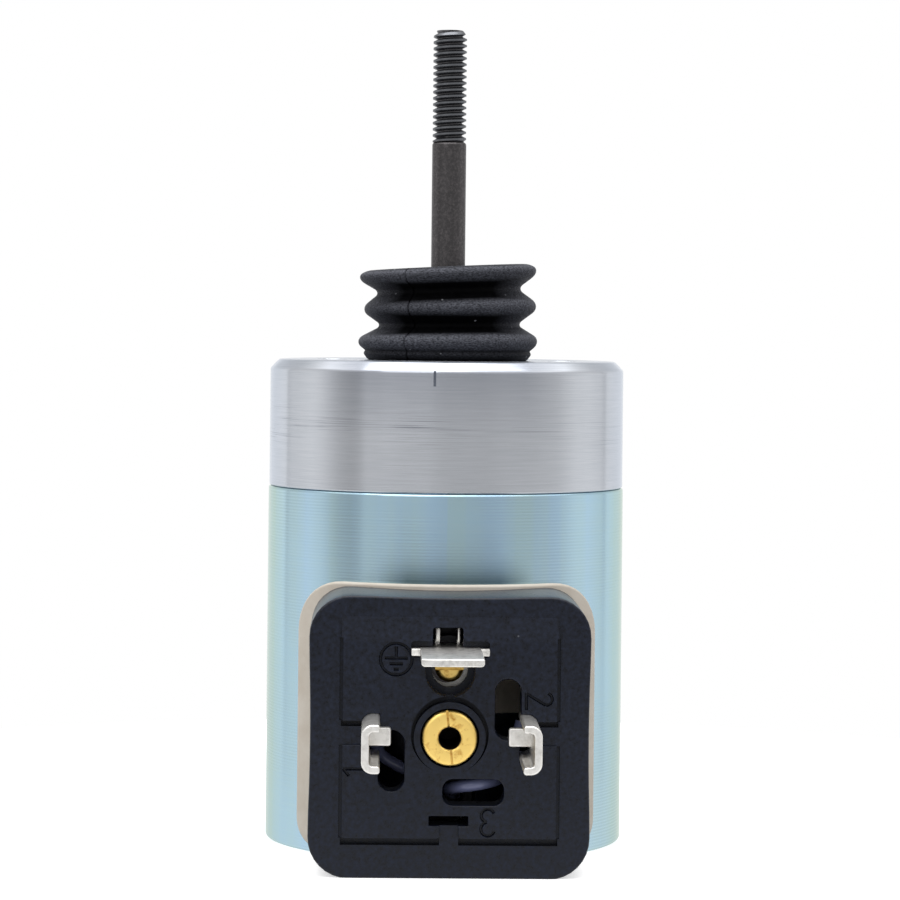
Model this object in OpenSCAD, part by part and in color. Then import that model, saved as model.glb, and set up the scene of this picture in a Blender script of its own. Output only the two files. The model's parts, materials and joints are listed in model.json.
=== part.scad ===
// Push-type valve solenoid: a turned steel shell, an aluminium end cap, a rubber bellows
// over a threaded push rod, and a square plug base with flat contacts on the side.
// Millimetres. The origin is the middle of the shell's foot, +Z runs along the rod,
// and the plug base faces -Y.

/* [Shell] */
// Outside diameter of the steel shell
shell_d = 40; // [38:0.5:48]
// Height of the shell up to the seam under the cap
shell_h = 39.5; // [38:0.5:48]
// Thickness of the shell's side wall
shell_wall = 3.5; // [2.5:0.1:4]
// Thickness of the shell's closed foot
shell_floor = 4; // [2.5:0.1:5]
// Broken edge at the foot of the shell
foot_chamfer = 0.4; // [0.2:0.1:0.8]
// Broken edges on both sides of the seam
seam_chamfer = 0.2; // [0.1:0.05:0.4]

/* [End cap] */
// Height of the cap above the seam
cap_h = 14.2; // [12:0.1:18]
// How much smaller the cap is than the shell, on the diameter
cap_relief = 0.15; // [0:0.05:0.5]
// Chamfer round the top of the cap
cap_chamfer = 1.2; // [0.5:0.1:2]
// Depth of the spigot that enters the shell
spigot_l = 4.5; // [4:0.1:6]
// Diameter of the boss that carries the bellows
boss_d = 16.6; // [15:0.1:17]
// Height of the boss above the cap's face
boss_h = 2.2; // [1.8:0.1:2.6]
// Distance between the two tapped mounting holes
mount_spacing = 26; // [25:0.5:30]
// Tapping drill of the mounting holes
mount_hole_d = 3.3; // [2.5:0.1:3.3]
// Depth of the mounting holes
mount_hole_depth = 9; // [6:0.5:10]
// Thickness of the seal ring between cap and shell
o_ring_d = 1.4; // [1:0.1:1.8]

/* [Bellows] */
// Number of folds
fold_count = 3; // [2:1:5]
// Distance from fold to fold
fold_pitch = 3.8; // [3:0.1:5]
// Diameter over the folds
crest_d = 19.7; // [19:0.1:21]
// Diameter between the folds
root_d = 16; // [14:0.1:17]
// Diameter of the straight foot of the bellows
bellows_foot_d = 18.8; // [18:0.1:19]
// Thickness of the rubber
bellows_wall = 0.9; // [0.6:0.05:1]

/* [Push rod] */
// Diameter of the plain rod
rod_d = 3.88; // [3.5:0.01:4]
// Pitch diameter of the thread at the tip, where a plain wall stands for its crests and roots
thread_d = 3.545; // [3.1:0.005:3.56]
// Length of the thread
thread_l = 13.1; // [8:0.1:16]
// How far the tip stands above the cap's face
rod_reach = 37.4; // [34:0.1:45]

/* [Plunger] */
// Travel of the plunger
stroke = 5; // [3:0.5:6]
// Diameter of the armature
armature_d = 14; // [13:0.1:14.5]
// Length of the armature's cylinder
armature_l = 11.5; // [9:0.1:12]
// Height of the armature's cone
cone_h = 3; // [2:0.1:3.5]
// Diameter of the cone where it starts
cone_base_d = 10.4; // [10:0.1:10.8]
// Diameter of the cone's flat top
cone_top_d = 6.8; // [6.6:0.1:7.2]
// Thickness of the brass shim on the armature
shim_t = 0.3; // [0.2:0.05:0.5]
// Thickness of the rubber pad under the armature
pad_t = 1; // [0.6:0.1:1.5]
// Wire of the return spring
spring_wire_d = 0.6; // [0.5:0.05:0.7]
// Turns of the return spring
spring_turns = 6; // [5:0.5:7]

/* [Coil] */
// Wall of the guide tube
tube_wall = 0.5; // [0.3:0.05:0.7]
// Thickness of the bobbin's flanges
bobbin_flange_t = 1.4; // [1:0.1:2]
// Thickness of the bobbin's hub
bobbin_wall = 0.9; // [0.7:0.1:1.2]
// Depth of the copper winding
winding_t = 5.2; // [4:0.1:5.4]
// Thickness of the tape over the winding
wrap_t = 0.4; // [0.2:0.05:0.5]
// Thickness of the pole's flux plate
pole_plate_t = 3.8; // [3:0.1:5]
// Height of the wave washer
wave_h = 0.8; // [0.6:0.05:1]
// Wall of the bronze bushes
bush_wall = 1.3; // [1:0.05:1.4]
// Length of the bush in the cap
bush_l = 8; // [6:0.5:10]
// Length of the bush in the pole
pole_bush_l = 5; // [3:0.1:5.5]

/* [Plug base] */
// Width and height of the plug base
base_w = 29.3; // [28.8:0.1:30.5]
// Radius of the base's corners
base_corner_r = 4; // [2:0.1:5]
// How far the sides of the base bow inwards
base_bow = 0.2; // [0.1:0.05:0.3]
// Height of the base above the foot of the shell
base_lift = 0.05; // [0.05:0.05:2]
// Distance from the shell to the front rim of the base
base_reach = 11; // [10:0.1:13]
// Thickness of the base's front wall
base_front_t = 3; // [2.5:0.1:3.2]
// Thickness of the base's side walls
base_wall = 2; // [1.5:0.1:2.2]
// Width of the raised middle of the front
plateau_w = 22.9; // [21.5:0.1:23.5]
// Height of the raised middle of the front
plateau_h = 22; // [21:0.1:23.5]
// Height of the raised middle over the rim
plateau_t = 0.7; // [0.4:0.1:1]
// Thickness of the flat gasket
gasket_t = 1; // [0.6:0.1:1.4]
// How far the gasket stands out at each side of the base
gasket_margin = 1.7; // [1:0.1:2]

/* [Contacts] */
// Distance over the outer faces of the two live contacts
contact_span = 18.4; // [18:0.1:18.8]
// Height of a live contact
contact_h = 5; // [4.5:0.1:5.4]
// Width of a live contact's folded sides
contact_fold = 1.9; // [1.6:0.1:2.1]
// Sheet thickness of all contacts
contact_t = 0.8; // [0.7:0.05:0.9]
// How far the live contacts stand out of the rim
contact_l = 11; // [9:0.1:13]
// Width of the earth contact
earth_w = 6.4; // [6:0.1:6.8]
// How far the earth contact stands out of the rim
earth_l = 12.8; // [11:0.1:14]
// Height of the earth contact over the middle of the base
earth_rise = 9; // [8.8:0.1:9.2]
// Height of the earth screw over the middle of the base
earth_screw_rise = 6.9; // [6.7:0.05:7]
// Diameter of the earth screw's head
earth_head_d = 3; // [2.6:0.1:3.6]
// Diameter of the brass insert in the middle
insert_d = 5.75; // [5:0.05:6.2]
// Tapping drill of the brass insert
insert_hole_d = 2.5; // [2:0.1:2.6]
// Diameter of the insulated lead wires
lead_d = 1.3; // [1:0.1:1.5]

/* [Hidden] */
$fn = 96;

// Clearances
slip_gap = 0.1;
close_gap = 0.05;
running_gap = 0.06;
cone_gap = 0.4;
stop_gap = 0.2;
flange_gap = 0.9;
bore_gap = 0.6;
pad_gap = 2;
spring_gap = 0.3;
notch_gap = 0.15;
cut = 1;

// Facets of the widest arcs
saddle_facets = 180;
bow_facets = 720;

// Shell and cap
shell_r = shell_d / 2;
shell_in_r = shell_r - shell_wall;
cap_r = (shell_d - cap_relief) / 2;
cap_top = shell_h + cap_h;
spigot_end = shell_h - spigot_l;
spigot_r = shell_in_r - close_gap;
rod_r = rod_d / 2;
bush_r = rod_r + running_gap + bush_wall;
boss_r = boss_d / 2;
boss_top = cap_top + boss_h;
groove_depth = o_ring_d + close_gap;
groove_w = o_ring_d + 4 * close_gap;
groove_z = shell_h - spigot_l / 2;

// Magnet stack, from the cap down
plate_bottom = spigot_end - pole_plate_t;
bobbin_top = plate_bottom - wave_h;
armature_r = armature_d / 2;
tube_in_r = armature_r + slip_gap;
tube_r = tube_in_r + tube_wall;
hub_in_r = tube_r + slip_gap;
hub_r = hub_in_r + bobbin_wall;
winding_r = hub_r + winding_t;
wrap_r = winding_r + wrap_t;
bobbin_flange_r = shell_in_r - flange_gap;
winding_low = shell_floor + bobbin_flange_t;
winding_high = bobbin_top - bobbin_flange_t;

// Plunger at rest on its pad
armature_low = shell_floor + pad_t;
armature_top = armature_low + armature_l;
cone_top = armature_top + cone_h;
armature_chamfer = 0.3;
collar_t = 0.8;
cone_land = 0.4;
collar_r = cone_top_d / 2 - cone_land;
pole_end = armature_top + shim_t + stroke + stop_gap;
socket_top = pole_end + cone_h - stop_gap;
spring_pocket_r = collar_r + spring_gap;
spring_low = cone_top + collar_t;
spring_high = spigot_end - pole_bush_l;
nut_h = 3.2;
nut_across = 7;
nut_pocket_r = 4.3;
rod_inset = 0.4;
nut_inset = 0.5;
rod_low = armature_low + rod_inset;
nut_low = armature_low + nut_inset;
tip_z = cap_top + rod_reach;
thread_low = tip_z - thread_l;
tip_chamfer = 0.6;
thread_shoulder_l = 0.3;

// Bellows
first_crest = 2.1;
top_fold_h = 0.8;
bellows_h = first_crest + (fold_count - 1) * fold_pitch + top_fold_h;
crest_r = crest_d / 2;
root_r = root_d / 2;
bellows_foot_r = bellows_foot_d / 2;
bellows_foot_h = 1;
bead_low = 0.2;
bead_high = 0.9;
bead_depth = 0.3;
foot_bore_r = boss_r + slip_gap;
fold_steps = 10;
collar_seat_l = 1.4;
collar_depth = 0.3;
collar_lip = 0.4;
collar_wall = 1.6;
top_edge_h = 0.1;
top_edge_w = 0.3;
collar_seat_top = cap_top + bellows_h - collar_lip;
collar_seat_low = collar_seat_top - collar_seat_l;

// Plug base, drawn with x to the right, y up the shell and z away from the shell's axis
gasket_r = shell_r + gasket_t;
base_mid = base_lift + base_w / 2;
rim_z = shell_r + base_reach;
face_z = rim_z + plateau_t;
front_wall_z = rim_z - base_front_t;
gasket_inset = 0.95;
gasket_rise = 0.65;
gasket_low = base_lift + gasket_inset;
gasket_h = base_w + gasket_rise - gasket_inset;
gasket_corner_r = 3.6;
contact_x = contact_span / 2;
notch_low = -2.9;
notch_high = 1.35;
notch_depth = plateau_w / 2 - contact_x + notch_gap;
key_w = 2;
blank_slot_w = 4;
blank_slot_h = 1;
blank_slot_drop = 8.65;
finger_slot_w = 3.1;
finger_slot_h = 1.75;
slot_w = 2.75;
slot_l = 6.4;
slot_overlap = 0.15;
side_slot_off = contact_x - contact_fold + slot_overlap - slot_w / 2;
left_slot_y = -2.4;
right_slot_y = 3;
low_slot_x = 2.4;
low_slot_off = 5.65;
insert_r = insert_d / 2;
insert_stand = 0.4;
insert_front = face_z + insert_stand;
insert_tail_r = 2.1;
insert_seat_l = 4;
insert_shoulder_z = front_wall_z - insert_seat_l;
insert_hole_l = 9;
insert_edge = 0.25;
insert_slot_w = 0.3;
insert_slot_depth = 0.6;
wall_inset = 0.3;
wall_end_z = shell_in_r + wall_inset;
ring_wall = 0.85;
ring_groove_w = 0.3;
ring_r = insert_r + ring_wall;
ring_groove_r = ring_r + ring_groove_w;
ring_groove_t = 0.8;
boss_wall = 1.4;
earth_hole_r = 2.4;
earth_foot_depth = 3;
earth_foot_z = front_wall_z - earth_foot_depth;
earth_foot_w = 6;
earth_thread_r = 1;
earth_washer_r = earth_rise - contact_t / 2 - earth_screw_rise - close_gap;
earth_foot_drop = 2.2;
earth_washer_t = 0.5;
earth_head_t = 1.4;
earth_slot_w = 0.4;
earth_slot_depth = 0.6;
boss_overlap = 0.6;
earth_boss_r = earth_screw_rise - insert_r - boss_wall + boss_overlap;
earth_ear = 0.9;
finger_x = 0.95;
finger_t = 0.4;
finger_h = 1.2;
finger_l = 3.6;
finger_depth = 2;
wire_hole_r = 3;
wire_drop = -(insert_r + boss_wall + wire_hole_r + slip_gap);
grommet_lip = 0.6;
wire_pitch = 2.6;
lead_r = lead_d / 2;
lead_stand = 0.6;
lead_depth = 1.6;
lead_end_inset = 0.4;
tail_l = 3.4;
tail_z = front_wall_z - tail_l;
tail_h = 3.4;
tab_reach = 2.3;
tab_low = -0.8;
tab_h = 1.8;

// Places a shape drawn on the plug base's front into the part's frame
module on_plug_side() {
    translate([0, 0, base_mid]) rotate([90, 0, 0]) children();
}

// Rounded rectangle made of exact arcs
module rounded_rect(w, h, r) {
    square([w - 2 * r, h], center = true);
    square([w, h - 2 * r], center = true);
    for (sx = [-1, 1], sy = [-1, 1]) translate([sx * (w / 2 - r), sy * (h / 2 - r)]) circle(r);
}

// Rounded square whose four sides bow inwards a little
module bowed_square(w, r, bow) {
    half = w / 2;
    reach = half - r;
    bow_r = (reach * reach + bow * bow) / (2 * bow);
    difference() {
        rounded_rect(w, w, r);
        for (a = [0:90:270]) rotate(a) translate([half + bow_r - bow, 0]) circle(bow_r, $fn = bow_facets);
    }
}

// Slot with round ends, long side along x
module round_slot(l, w) {
    square([l - w, w], center = true);
    for (s = [-1, 1]) translate([s * (l - w) / 2, 0]) circle(w / 2);
}

// Straight ring from one height to another
module ring(r_out, r_in, low, high) {
    rotate_extrude() translate([r_in, low]) square([r_out - r_in, high - low]);
}

// Unit vector
function unit(v) = v / norm(v);

// Direction of a route at point i
function heading(route, i) =
    unit(route[min(i + 1, len(route) - 1)] - route[max(i - 1, 0)]);

// Round tube along a route of points; side is a direction that the route never follows
module tube_along(route, r, sides, side) {
    count = len(route);
    points = [for (i = [0:count - 1])
        let (along = heading(route, i), u = unit(cross(along, side)), v = cross(along, u))
        for (k = [0:sides - 1]) route[i] + r * (cos(360 * k / sides) * u + sin(360 * k / sides) * v)];
    skin = [for (i = [0:count - 2], k = [0:sides - 1])
        let (next = (k + 1) % sides)
        [i * sides + k, i * sides + next, (i + 1) * sides + next, (i + 1) * sides + k]];
    first_end = [[for (k = [sides - 1:-1:0]) k]];
    last_end = [[for (k = [0:sides - 1]) (count - 1) * sides + k]];
    polyhedron(points, concat(skin, first_end, last_end), convexity = 6);
}

// Turned steel cup with the holes that the plug base needs
module shell() {
    color("#a9c4cf")
    difference() {
        rotate_extrude() polygon([
            [0, 0], [shell_r - foot_chamfer, 0], [shell_r, foot_chamfer],
            [shell_r, shell_h - seam_chamfer], [shell_r - seam_chamfer, shell_h],
            [shell_in_r, shell_h], [shell_in_r, shell_floor], [0, shell_floor]]);
        on_plug_side() {
            cylinder(r = insert_tail_r + close_gap, h = shell_r + cut);
            translate([0, earth_screw_rise, 0]) cylinder(r = earth_thread_r + close_gap, h = shell_r + cut);
            translate([0, wire_drop, 0]) cylinder(r = wire_hole_r, h = shell_r + cut);
        }
    }
}

// Turned aluminium cap: spigot with seal groove, rod bore, bellows boss and mounting holes
module end_cap() {
    color("#b4b5b8")
    difference() {
        rotate_extrude() polygon([
            [rod_r + bore_gap, spigot_end], [spigot_r, spigot_end],
            [spigot_r, groove_z - groove_w / 2], [spigot_r - groove_depth, groove_z - groove_w / 2],
            [spigot_r - groove_depth, groove_z + groove_w / 2], [spigot_r, groove_z + groove_w / 2],
            [spigot_r, shell_h], [cap_r - seam_chamfer, shell_h], [cap_r, shell_h + seam_chamfer],
            [cap_r, cap_top - cap_chamfer], [cap_r - cap_chamfer, cap_top],
            [boss_r, cap_top], [boss_r, cap_top + bead_low - close_gap],
            [boss_r - bead_depth, cap_top + bead_low - close_gap],
            [boss_r - bead_depth, cap_top + bead_high + close_gap],
            [boss_r, cap_top + bead_high + close_gap], [boss_r, boss_top],
            [bush_r + close_gap, boss_top], [bush_r + close_gap, boss_top - bush_l],
            [rod_r + bore_gap, boss_top - bush_l]]);
        for (s = [-1, 1])
            translate([s * mount_spacing / 2, 0, cap_top - mount_hole_depth])
                cylinder(d = mount_hole_d, h = mount_hole_depth + cut);
    }
}

// Rubber seal ring in the spigot's groove
module cap_o_ring() {
    color("#1b1b1d")
    rotate_extrude() translate([spigot_r - o_ring_d / 2, groove_z]) circle(d = o_ring_d);
}

// Bronze bush that guides the rod in the cap
module front_bush() {
    color("#b58a4a") ring(bush_r, rod_r + running_gap, boss_top - bush_l, boss_top);
}

// Steel pole: flux plate, core with a conical socket, and a pocket for the return spring
module pole_piece() {
    core_r = tube_in_r - close_gap;
    socket_r = cone_base_d / 2 + cone_gap / 2;
    socket_top_r = cone_top_d / 2 + cone_gap / 2;
    color("#8e9296")
    rotate_extrude() polygon([
        [socket_r, pole_end], [core_r, pole_end], [core_r, plate_bottom],
        [shell_in_r - slip_gap, plate_bottom], [shell_in_r - slip_gap, spigot_end],
        [bush_r + close_gap, spigot_end], [bush_r + close_gap, spring_high],
        [spring_pocket_r, spring_high], [spring_pocket_r, socket_top], [socket_top_r, socket_top]]);
}

// Bronze bush that guides the rod in the pole and seats the spring
module pole_bush() {
    color("#b58a4a") ring(bush_r, rod_r + running_gap, spring_high, spigot_end);
}

// Thin brass tube that the armature slides in
module guide_tube() {
    color("#c7a864") ring(tube_r, tube_in_r, shell_floor, plate_bottom - slip_gap);
}

// Moulded spool of the coil
module bobbin() {
    color("#e7e2d6")
    rotate_extrude() polygon([
        [hub_in_r, shell_floor], [bobbin_flange_r, shell_floor], [bobbin_flange_r, winding_low],
        [hub_r, winding_low], [hub_r, winding_high], [bobbin_flange_r, winding_high],
        [bobbin_flange_r, bobbin_top], [hub_in_r, bobbin_top]]);
}

// Enamelled copper winding
module coil_winding() {
    color("#b4642d") ring(winding_r, hub_r, winding_low, winding_high);
}

// Insulating tape over the winding
module coil_wrap() {
    color("#d9b13c") ring(wrap_r, winding_r, winding_low, winding_high);
}

// Wave washer that presses the coil onto the shell's foot
module wave_washer() {
    waves = 3;
    steps = 60;
    sheet = 0.3;
    hub_land = 0.6;
    rim_land = 1;
    inner = hub_in_r + hub_land;
    outer = bobbin_flange_r - rim_land;
    swing = (wave_h - sheet) / 2 - close_gap / 2;
    function height(k) = bobbin_top + wave_h / 2 + swing * cos(360 * waves * k / steps);
    function corner(k, r, dz) = [r * cos(360 * k / steps), r * sin(360 * k / steps), height(k) + dz];
    points = [for (k = [0:steps - 1])
        each [corner(k, inner, -sheet / 2), corner(k, outer, -sheet / 2),
              corner(k, outer, sheet / 2), corner(k, inner, sheet / 2)]];
    faces = [for (k = [0:steps - 1], side = [0:3])
        let (here = 4 * k, next = 4 * ((k + 1) % steps), other = (side + 1) % 4)
        each [[here + side, here + other, next + side], [here + other, next + other, next + side]]];
    color("#9fa3a8") polyhedron(points, faces, convexity = 6);
}

// Rubber pad that the armature drops on
module stop_pad() {
    color("#2a2a2c") ring(tube_in_r - slip_gap, rod_r + pad_gap, shell_floor, armature_low);
}

// Rubber bellows with a bead in the boss's groove and a collar in the rod's groove
module bellows() {
    swing = (crest_r - root_r) / 2;
    middle = (crest_r + root_r) / 2;
    top = bellows_h - top_edge_h;
    step_h = fold_pitch / fold_steps;
    steps = floor((top - bellows_foot_h) / step_h);
    function fold_r(z) = middle + swing * cos(360 * (z - first_crest) / fold_pitch);
    function outer_r(z) = z < first_crest ? max(fold_r(z), bellows_foot_r) : fold_r(z);
    heights = [for (i = [0:steps]) bellows_foot_h + i * step_h];
    outside = [for (z = heights) [outer_r(z), cap_top + z]];
    inside = [for (i = [steps:-1:0])
        if (heights[i] < top - bellows_wall)
            [max(outer_r(heights[i]) - bellows_wall, foot_bore_r * (heights[i] < first_crest ? 1 : 0)),
             cap_top + heights[i]]];
    collar_out_r = rod_r + collar_wall;
    grip_r = rod_r + slip_gap - collar_depth;
    color("#202124")
    rotate_extrude() polygon(concat(
        [[foot_bore_r, cap_top], [bellows_foot_r, cap_top]],
        outside,
        [[outer_r(top) - top_edge_w, cap_top + bellows_h], [rod_r + slip_gap, cap_top + bellows_h],
         [rod_r + slip_gap, collar_seat_top - close_gap],
         [grip_r, collar_seat_top - close_gap], [grip_r, collar_seat_low + close_gap],
         [rod_r + slip_gap, collar_seat_low + close_gap],
         [rod_r + slip_gap, collar_seat_low - collar_lip],
         [collar_out_r, collar_seat_low - collar_lip],
         [collar_out_r, cap_top + bellows_h - bellows_wall]],
        inside,
        [[foot_bore_r, cap_top + bead_high], [foot_bore_r - bead_depth, cap_top + bead_high],
         [foot_bore_r - bead_depth, cap_top + bead_low], [foot_bore_r, cap_top + bead_low]]));
}

// Steel push rod: collar on the armature, groove for the bellows, thread at the tip
module push_rod() {
    thread_r = thread_d / 2;
    color("#2f3033")
    rotate_extrude() polygon([
        [0, rod_low], [rod_r, rod_low], [rod_r, cone_top], [collar_r, cone_top],
        [collar_r, cone_top + collar_t], [rod_r, cone_top + collar_t], [rod_r, collar_seat_low],
        [rod_r - collar_depth, collar_seat_low], [rod_r - collar_depth, collar_seat_top],
        [rod_r, collar_seat_top], [rod_r, thread_low], [thread_r, thread_low + thread_shoulder_l],
        [thread_r, tip_z - tip_chamfer], [thread_r - tip_chamfer, tip_z], [0, tip_z]]);
}

// Soft-iron armature with a conical nose and a pocket for the lock nut
module armature() {
    bore_r = rod_r + close_gap;
    color("#85898d")
    rotate_extrude() polygon([
        [nut_pocket_r, armature_low], [armature_r - armature_chamfer, armature_low],
        [armature_r, armature_low + armature_chamfer], [armature_r, armature_top],
        [cone_base_d / 2, armature_top], [cone_top_d / 2, cone_top], [bore_r, cone_top],
        [bore_r, nut_low + nut_h], [nut_pocket_r, nut_low + nut_h]]);
}

// Brass shim that keeps the armature from sticking to the pole
module anti_stick_shim() {
    color("#cba656")
    ring(armature_r - slip_gap, cone_base_d / 2 + slip_gap, armature_top, armature_top + shim_t);
}

// Hexagon nut that clamps the armature against the rod's collar
module lock_nut() {
    color("#7d8084")
    translate([0, 0, nut_low])
    difference() {
        cylinder(d = nut_across / cos(30), h = nut_h, $fn = 6);
        translate([0, 0, -cut]) cylinder(r = rod_r + close_gap, h = nut_h + 2 * cut);
    }
}

// Steel return spring round the rod, with closed end turns
module return_spring() {
    sides = 8;
    steps = 18;
    wire_r = spring_wire_d / 2;
    coil_r = (rod_r + spring_pocket_r) / 2;
    low = spring_low + wire_r + close_gap;
    high = spring_high - wire_r - close_gap;
    closed = spring_wire_d + close_gap;
    open_turns = spring_turns - 2;
    open_pitch = (high - low - 2 * closed) / open_turns;
    function coil_z(t) = low + (t < 1 ? t * closed
        : t < 1 + open_turns ? closed + (t - 1) * open_pitch
        : closed + open_turns * open_pitch + (t - 1 - open_turns) * closed);
    route = [for (i = [0:spring_turns * steps])
        let (t = i / steps) [coil_r * cos(360 * t), coil_r * sin(360 * t), coil_z(t)]];
    color("#c3c6c9") tube_along(route, wire_r, sides, [0, 0, 1]);
}

// Flat cream gasket bent round the shell, with holes for the insert, the earth screw and the leads
module connector_gasket() {
    gasket_w = base_w + 2 * gasket_margin;
    color("#e3d2bd")
    difference() {
        intersection() {
            translate([0, 0, gasket_low]) ring(gasket_r, shell_r, 0, gasket_h);
            on_plug_side() linear_extrude(gasket_r + cut)
                translate([0, gasket_low + gasket_h / 2 - base_mid])
                    rounded_rect(gasket_w, gasket_h, gasket_corner_r);
        }
        on_plug_side() {
            cylinder(r = insert_tail_r + slip_gap, h = gasket_r + cut);
            translate([0, earth_screw_rise, 0]) cylinder(r = earth_thread_r + slip_gap, h = gasket_r + cut);
            translate([0, wire_drop, 0]) cylinder(r = wire_hole_r + slip_gap, h = gasket_r + cut);
        }
    }
}

// Outline of a live contact with its folded sides towards the middle, outer face at x = 0
module contact_outline(gap) {
    bend_r = contact_t;
    difference() {
        translate([-gap, -contact_h / 2 - gap]) square([contact_fold + 2 * gap, contact_h + 2 * gap]);
        translate([contact_t + gap, -contact_h / 2 + contact_t + gap])
            square([contact_fold + cut, contact_h - 2 * contact_t - 2 * gap]);
        for (s = [-1, 1]) scale([1, s]) translate([-gap, contact_h / 2 + gap]) difference() {
            translate([-cut, -bend_r]) square([bend_r + cut, bend_r + cut]);
            translate([bend_r, -bend_r]) circle(bend_r);
        }
    }
}

// Hollow part of the front: wire slots, contact slots, screw hole and the blank slot
module front_openings() {
    translate([-side_slot_off, left_slot_y]) rotate(90) round_slot(slot_l, slot_w);
    translate([side_slot_off, right_slot_y]) rotate(90) round_slot(slot_l, slot_w);
    translate([low_slot_x, -low_slot_off]) round_slot(slot_l, slot_w);
    for (s = [-1, 1]) scale([s, 1]) translate([-contact_x, 0]) contact_outline(close_gap);
    translate([-earth_w / 2 - close_gap, earth_rise - contact_t / 2 - close_gap])
        square([earth_w + 2 * close_gap, contact_t + 2 * close_gap]);
    translate([-finger_slot_w / 2, earth_rise]) square([finger_slot_w, contact_t / 2 + finger_slot_h]);
    translate([0, -blank_slot_drop]) square([blank_slot_w, blank_slot_h], center = true);
    translate([0, earth_screw_rise]) circle(earth_hole_r);
    circle(insert_r + close_gap);
}

// Raised middle of the front, cut back at the live contacts and below the blank slot
module plateau_outline() {
    key_h = plateau_h / 2 - blank_slot_drop;
    difference() {
        square([plateau_w, plateau_h], center = true);
        for (s = [-1, 1]) translate([s * plateau_w / 2, (notch_low + notch_high) / 2])
            square([2 * notch_depth, notch_high - notch_low], center = true);
        translate([0, -plateau_h / 2]) square([key_w, 2 * key_h], center = true);
    }
}

// Moulded plug base: hollow block on a curved saddle, with a raised, slotted front
module connector_base() {
    cavity_w = base_w - 2 * base_wall;
    color("#2b2d33")
    on_plug_side()
    difference() {
        union() {
            difference() {
                union() {
                    linear_extrude(rim_z) bowed_square(base_w, base_corner_r, base_bow);
                    translate([0, 0, rim_z - cut]) linear_extrude(plateau_t + cut) plateau_outline();
                }
                linear_extrude(front_wall_z)
                    rounded_rect(cavity_w, cavity_w, base_corner_r - base_wall / 2);
                linear_extrude(face_z + cut) front_openings();
                translate([0, 0, face_z - ring_groove_t]) linear_extrude(cut + ring_groove_t) difference() {
                    circle(ring_groove_r);
                    circle(ring_r);
                }
            }
            translate([0, 0, shell_r]) linear_extrude(front_wall_z - shell_r) difference() {
                circle(insert_r + boss_wall);
                circle(insert_r + close_gap);
            }
            translate([0, 0, shell_r]) linear_extrude(insert_shoulder_z - shell_r) difference() {
                circle(insert_r + boss_wall);
                circle(insert_tail_r + slip_gap);
            }
            translate([0, earth_screw_rise, shell_r]) linear_extrude(earth_foot_z - shell_r) difference() {
                circle(earth_boss_r);
                circle(earth_thread_r + slip_gap);
                translate([0, -earth_screw_rise]) circle(insert_r + boss_wall - close_gap);
            }
        }
        rotate([90, 0, 0]) cylinder(r = gasket_r, h = 2 * base_w, center = true, $fn = saddle_facets);
    }
}

// Live contact on one side: folded blade, seating tab and tail
module live_contact(side) {
    color("#c9cbcc")
    on_plug_side() scale([side, 1, 1]) translate([-contact_x, 0, 0]) {
        translate([0, 0, front_wall_z]) linear_extrude(rim_z + contact_l - front_wall_z) contact_outline(0);
        translate([contact_t / 2, tab_low, face_z]) cube([tab_reach + contact_t / 2, tab_h, contact_t]);
        translate([0, -tail_h / 2, tail_z]) cube([contact_t, tail_h, front_wall_z - tail_z + contact_t]);
    }
}

// Live contact on the left
module contact_blade_1() {
    live_contact(1);
}

// Live contact on the right
module contact_blade_2() {
    live_contact(-1);
}

// Earth contact: flat blade with shoulders, two spring fingers, and a foot under the earth screw
module earth_blade() {
    shoulder_w = earth_w + 2 * earth_ear;
    blade_low = earth_rise - contact_t / 2;
    foot_low = earth_screw_rise - earth_foot_drop;
    color("#cfd0d1")
    on_plug_side() difference() {
        union() {
            translate([-earth_w / 2, blade_low, earth_foot_z])
                cube([earth_w, contact_t, rim_z + earth_l - earth_foot_z]);
            translate([-shoulder_w / 2, blade_low, face_z]) cube([shoulder_w, contact_t, contact_t]);
            translate([-earth_foot_w / 2, foot_low, earth_foot_z])
                cube([earth_foot_w, blade_low - foot_low + contact_t / 2, contact_t]);
            for (s = [-1, 1])
                translate([s * finger_x - finger_t / 2, blade_low, front_wall_z - finger_depth])
                    cube([finger_t, contact_t + finger_h, finger_l]);
        }
        translate([0, earth_screw_rise, 0]) cylinder(r = earth_thread_r + slip_gap, h = rim_z);
    }
}

// Brass screw that bonds the earth contact to the shell
module earth_screw() {
    head_z = earth_foot_z + contact_t + earth_washer_t;
    color("#c79a3e")
    on_plug_side() translate([0, earth_screw_rise, 0]) difference() {
        union() {
            translate([0, 0, wall_end_z])
                cylinder(r = earth_thread_r, h = head_z + earth_head_t / 2 - wall_end_z);
            translate([0, 0, head_z]) cylinder(d = earth_head_d, h = earth_head_t);
        }
        translate([-earth_head_d, -earth_slot_w / 2, head_z + earth_head_t - earth_slot_depth])
            cube([2 * earth_head_d, earth_slot_w, cut]);
    }
}

// Plain washer under the earth screw's head
module earth_washer() {
    color("#b9bcbe")
    on_plug_side() translate([0, earth_screw_rise, earth_foot_z + contact_t])
        ring(earth_washer_r, earth_thread_r + slip_gap, 0, earth_washer_t);
}

// Slotted brass insert that holds the base and takes the plug's screw
module centre_insert() {
    color("#d3a548")
    on_plug_side() difference() {
        rotate_extrude() polygon([
            [0, wall_end_z], [insert_tail_r, wall_end_z], [insert_tail_r, insert_shoulder_z],
            [insert_r, insert_shoulder_z], [insert_r, insert_front - insert_edge],
            [insert_r - insert_edge, insert_front], [insert_hole_d / 2, insert_front],
            [insert_hole_d / 2, insert_front - insert_hole_l], [0, insert_front - insert_hole_l]]);
        translate([-insert_slot_w / 2, -insert_d, insert_front - insert_slot_depth])
            cube([insert_slot_w, 2 * insert_d, cut]);
    }
}

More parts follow.
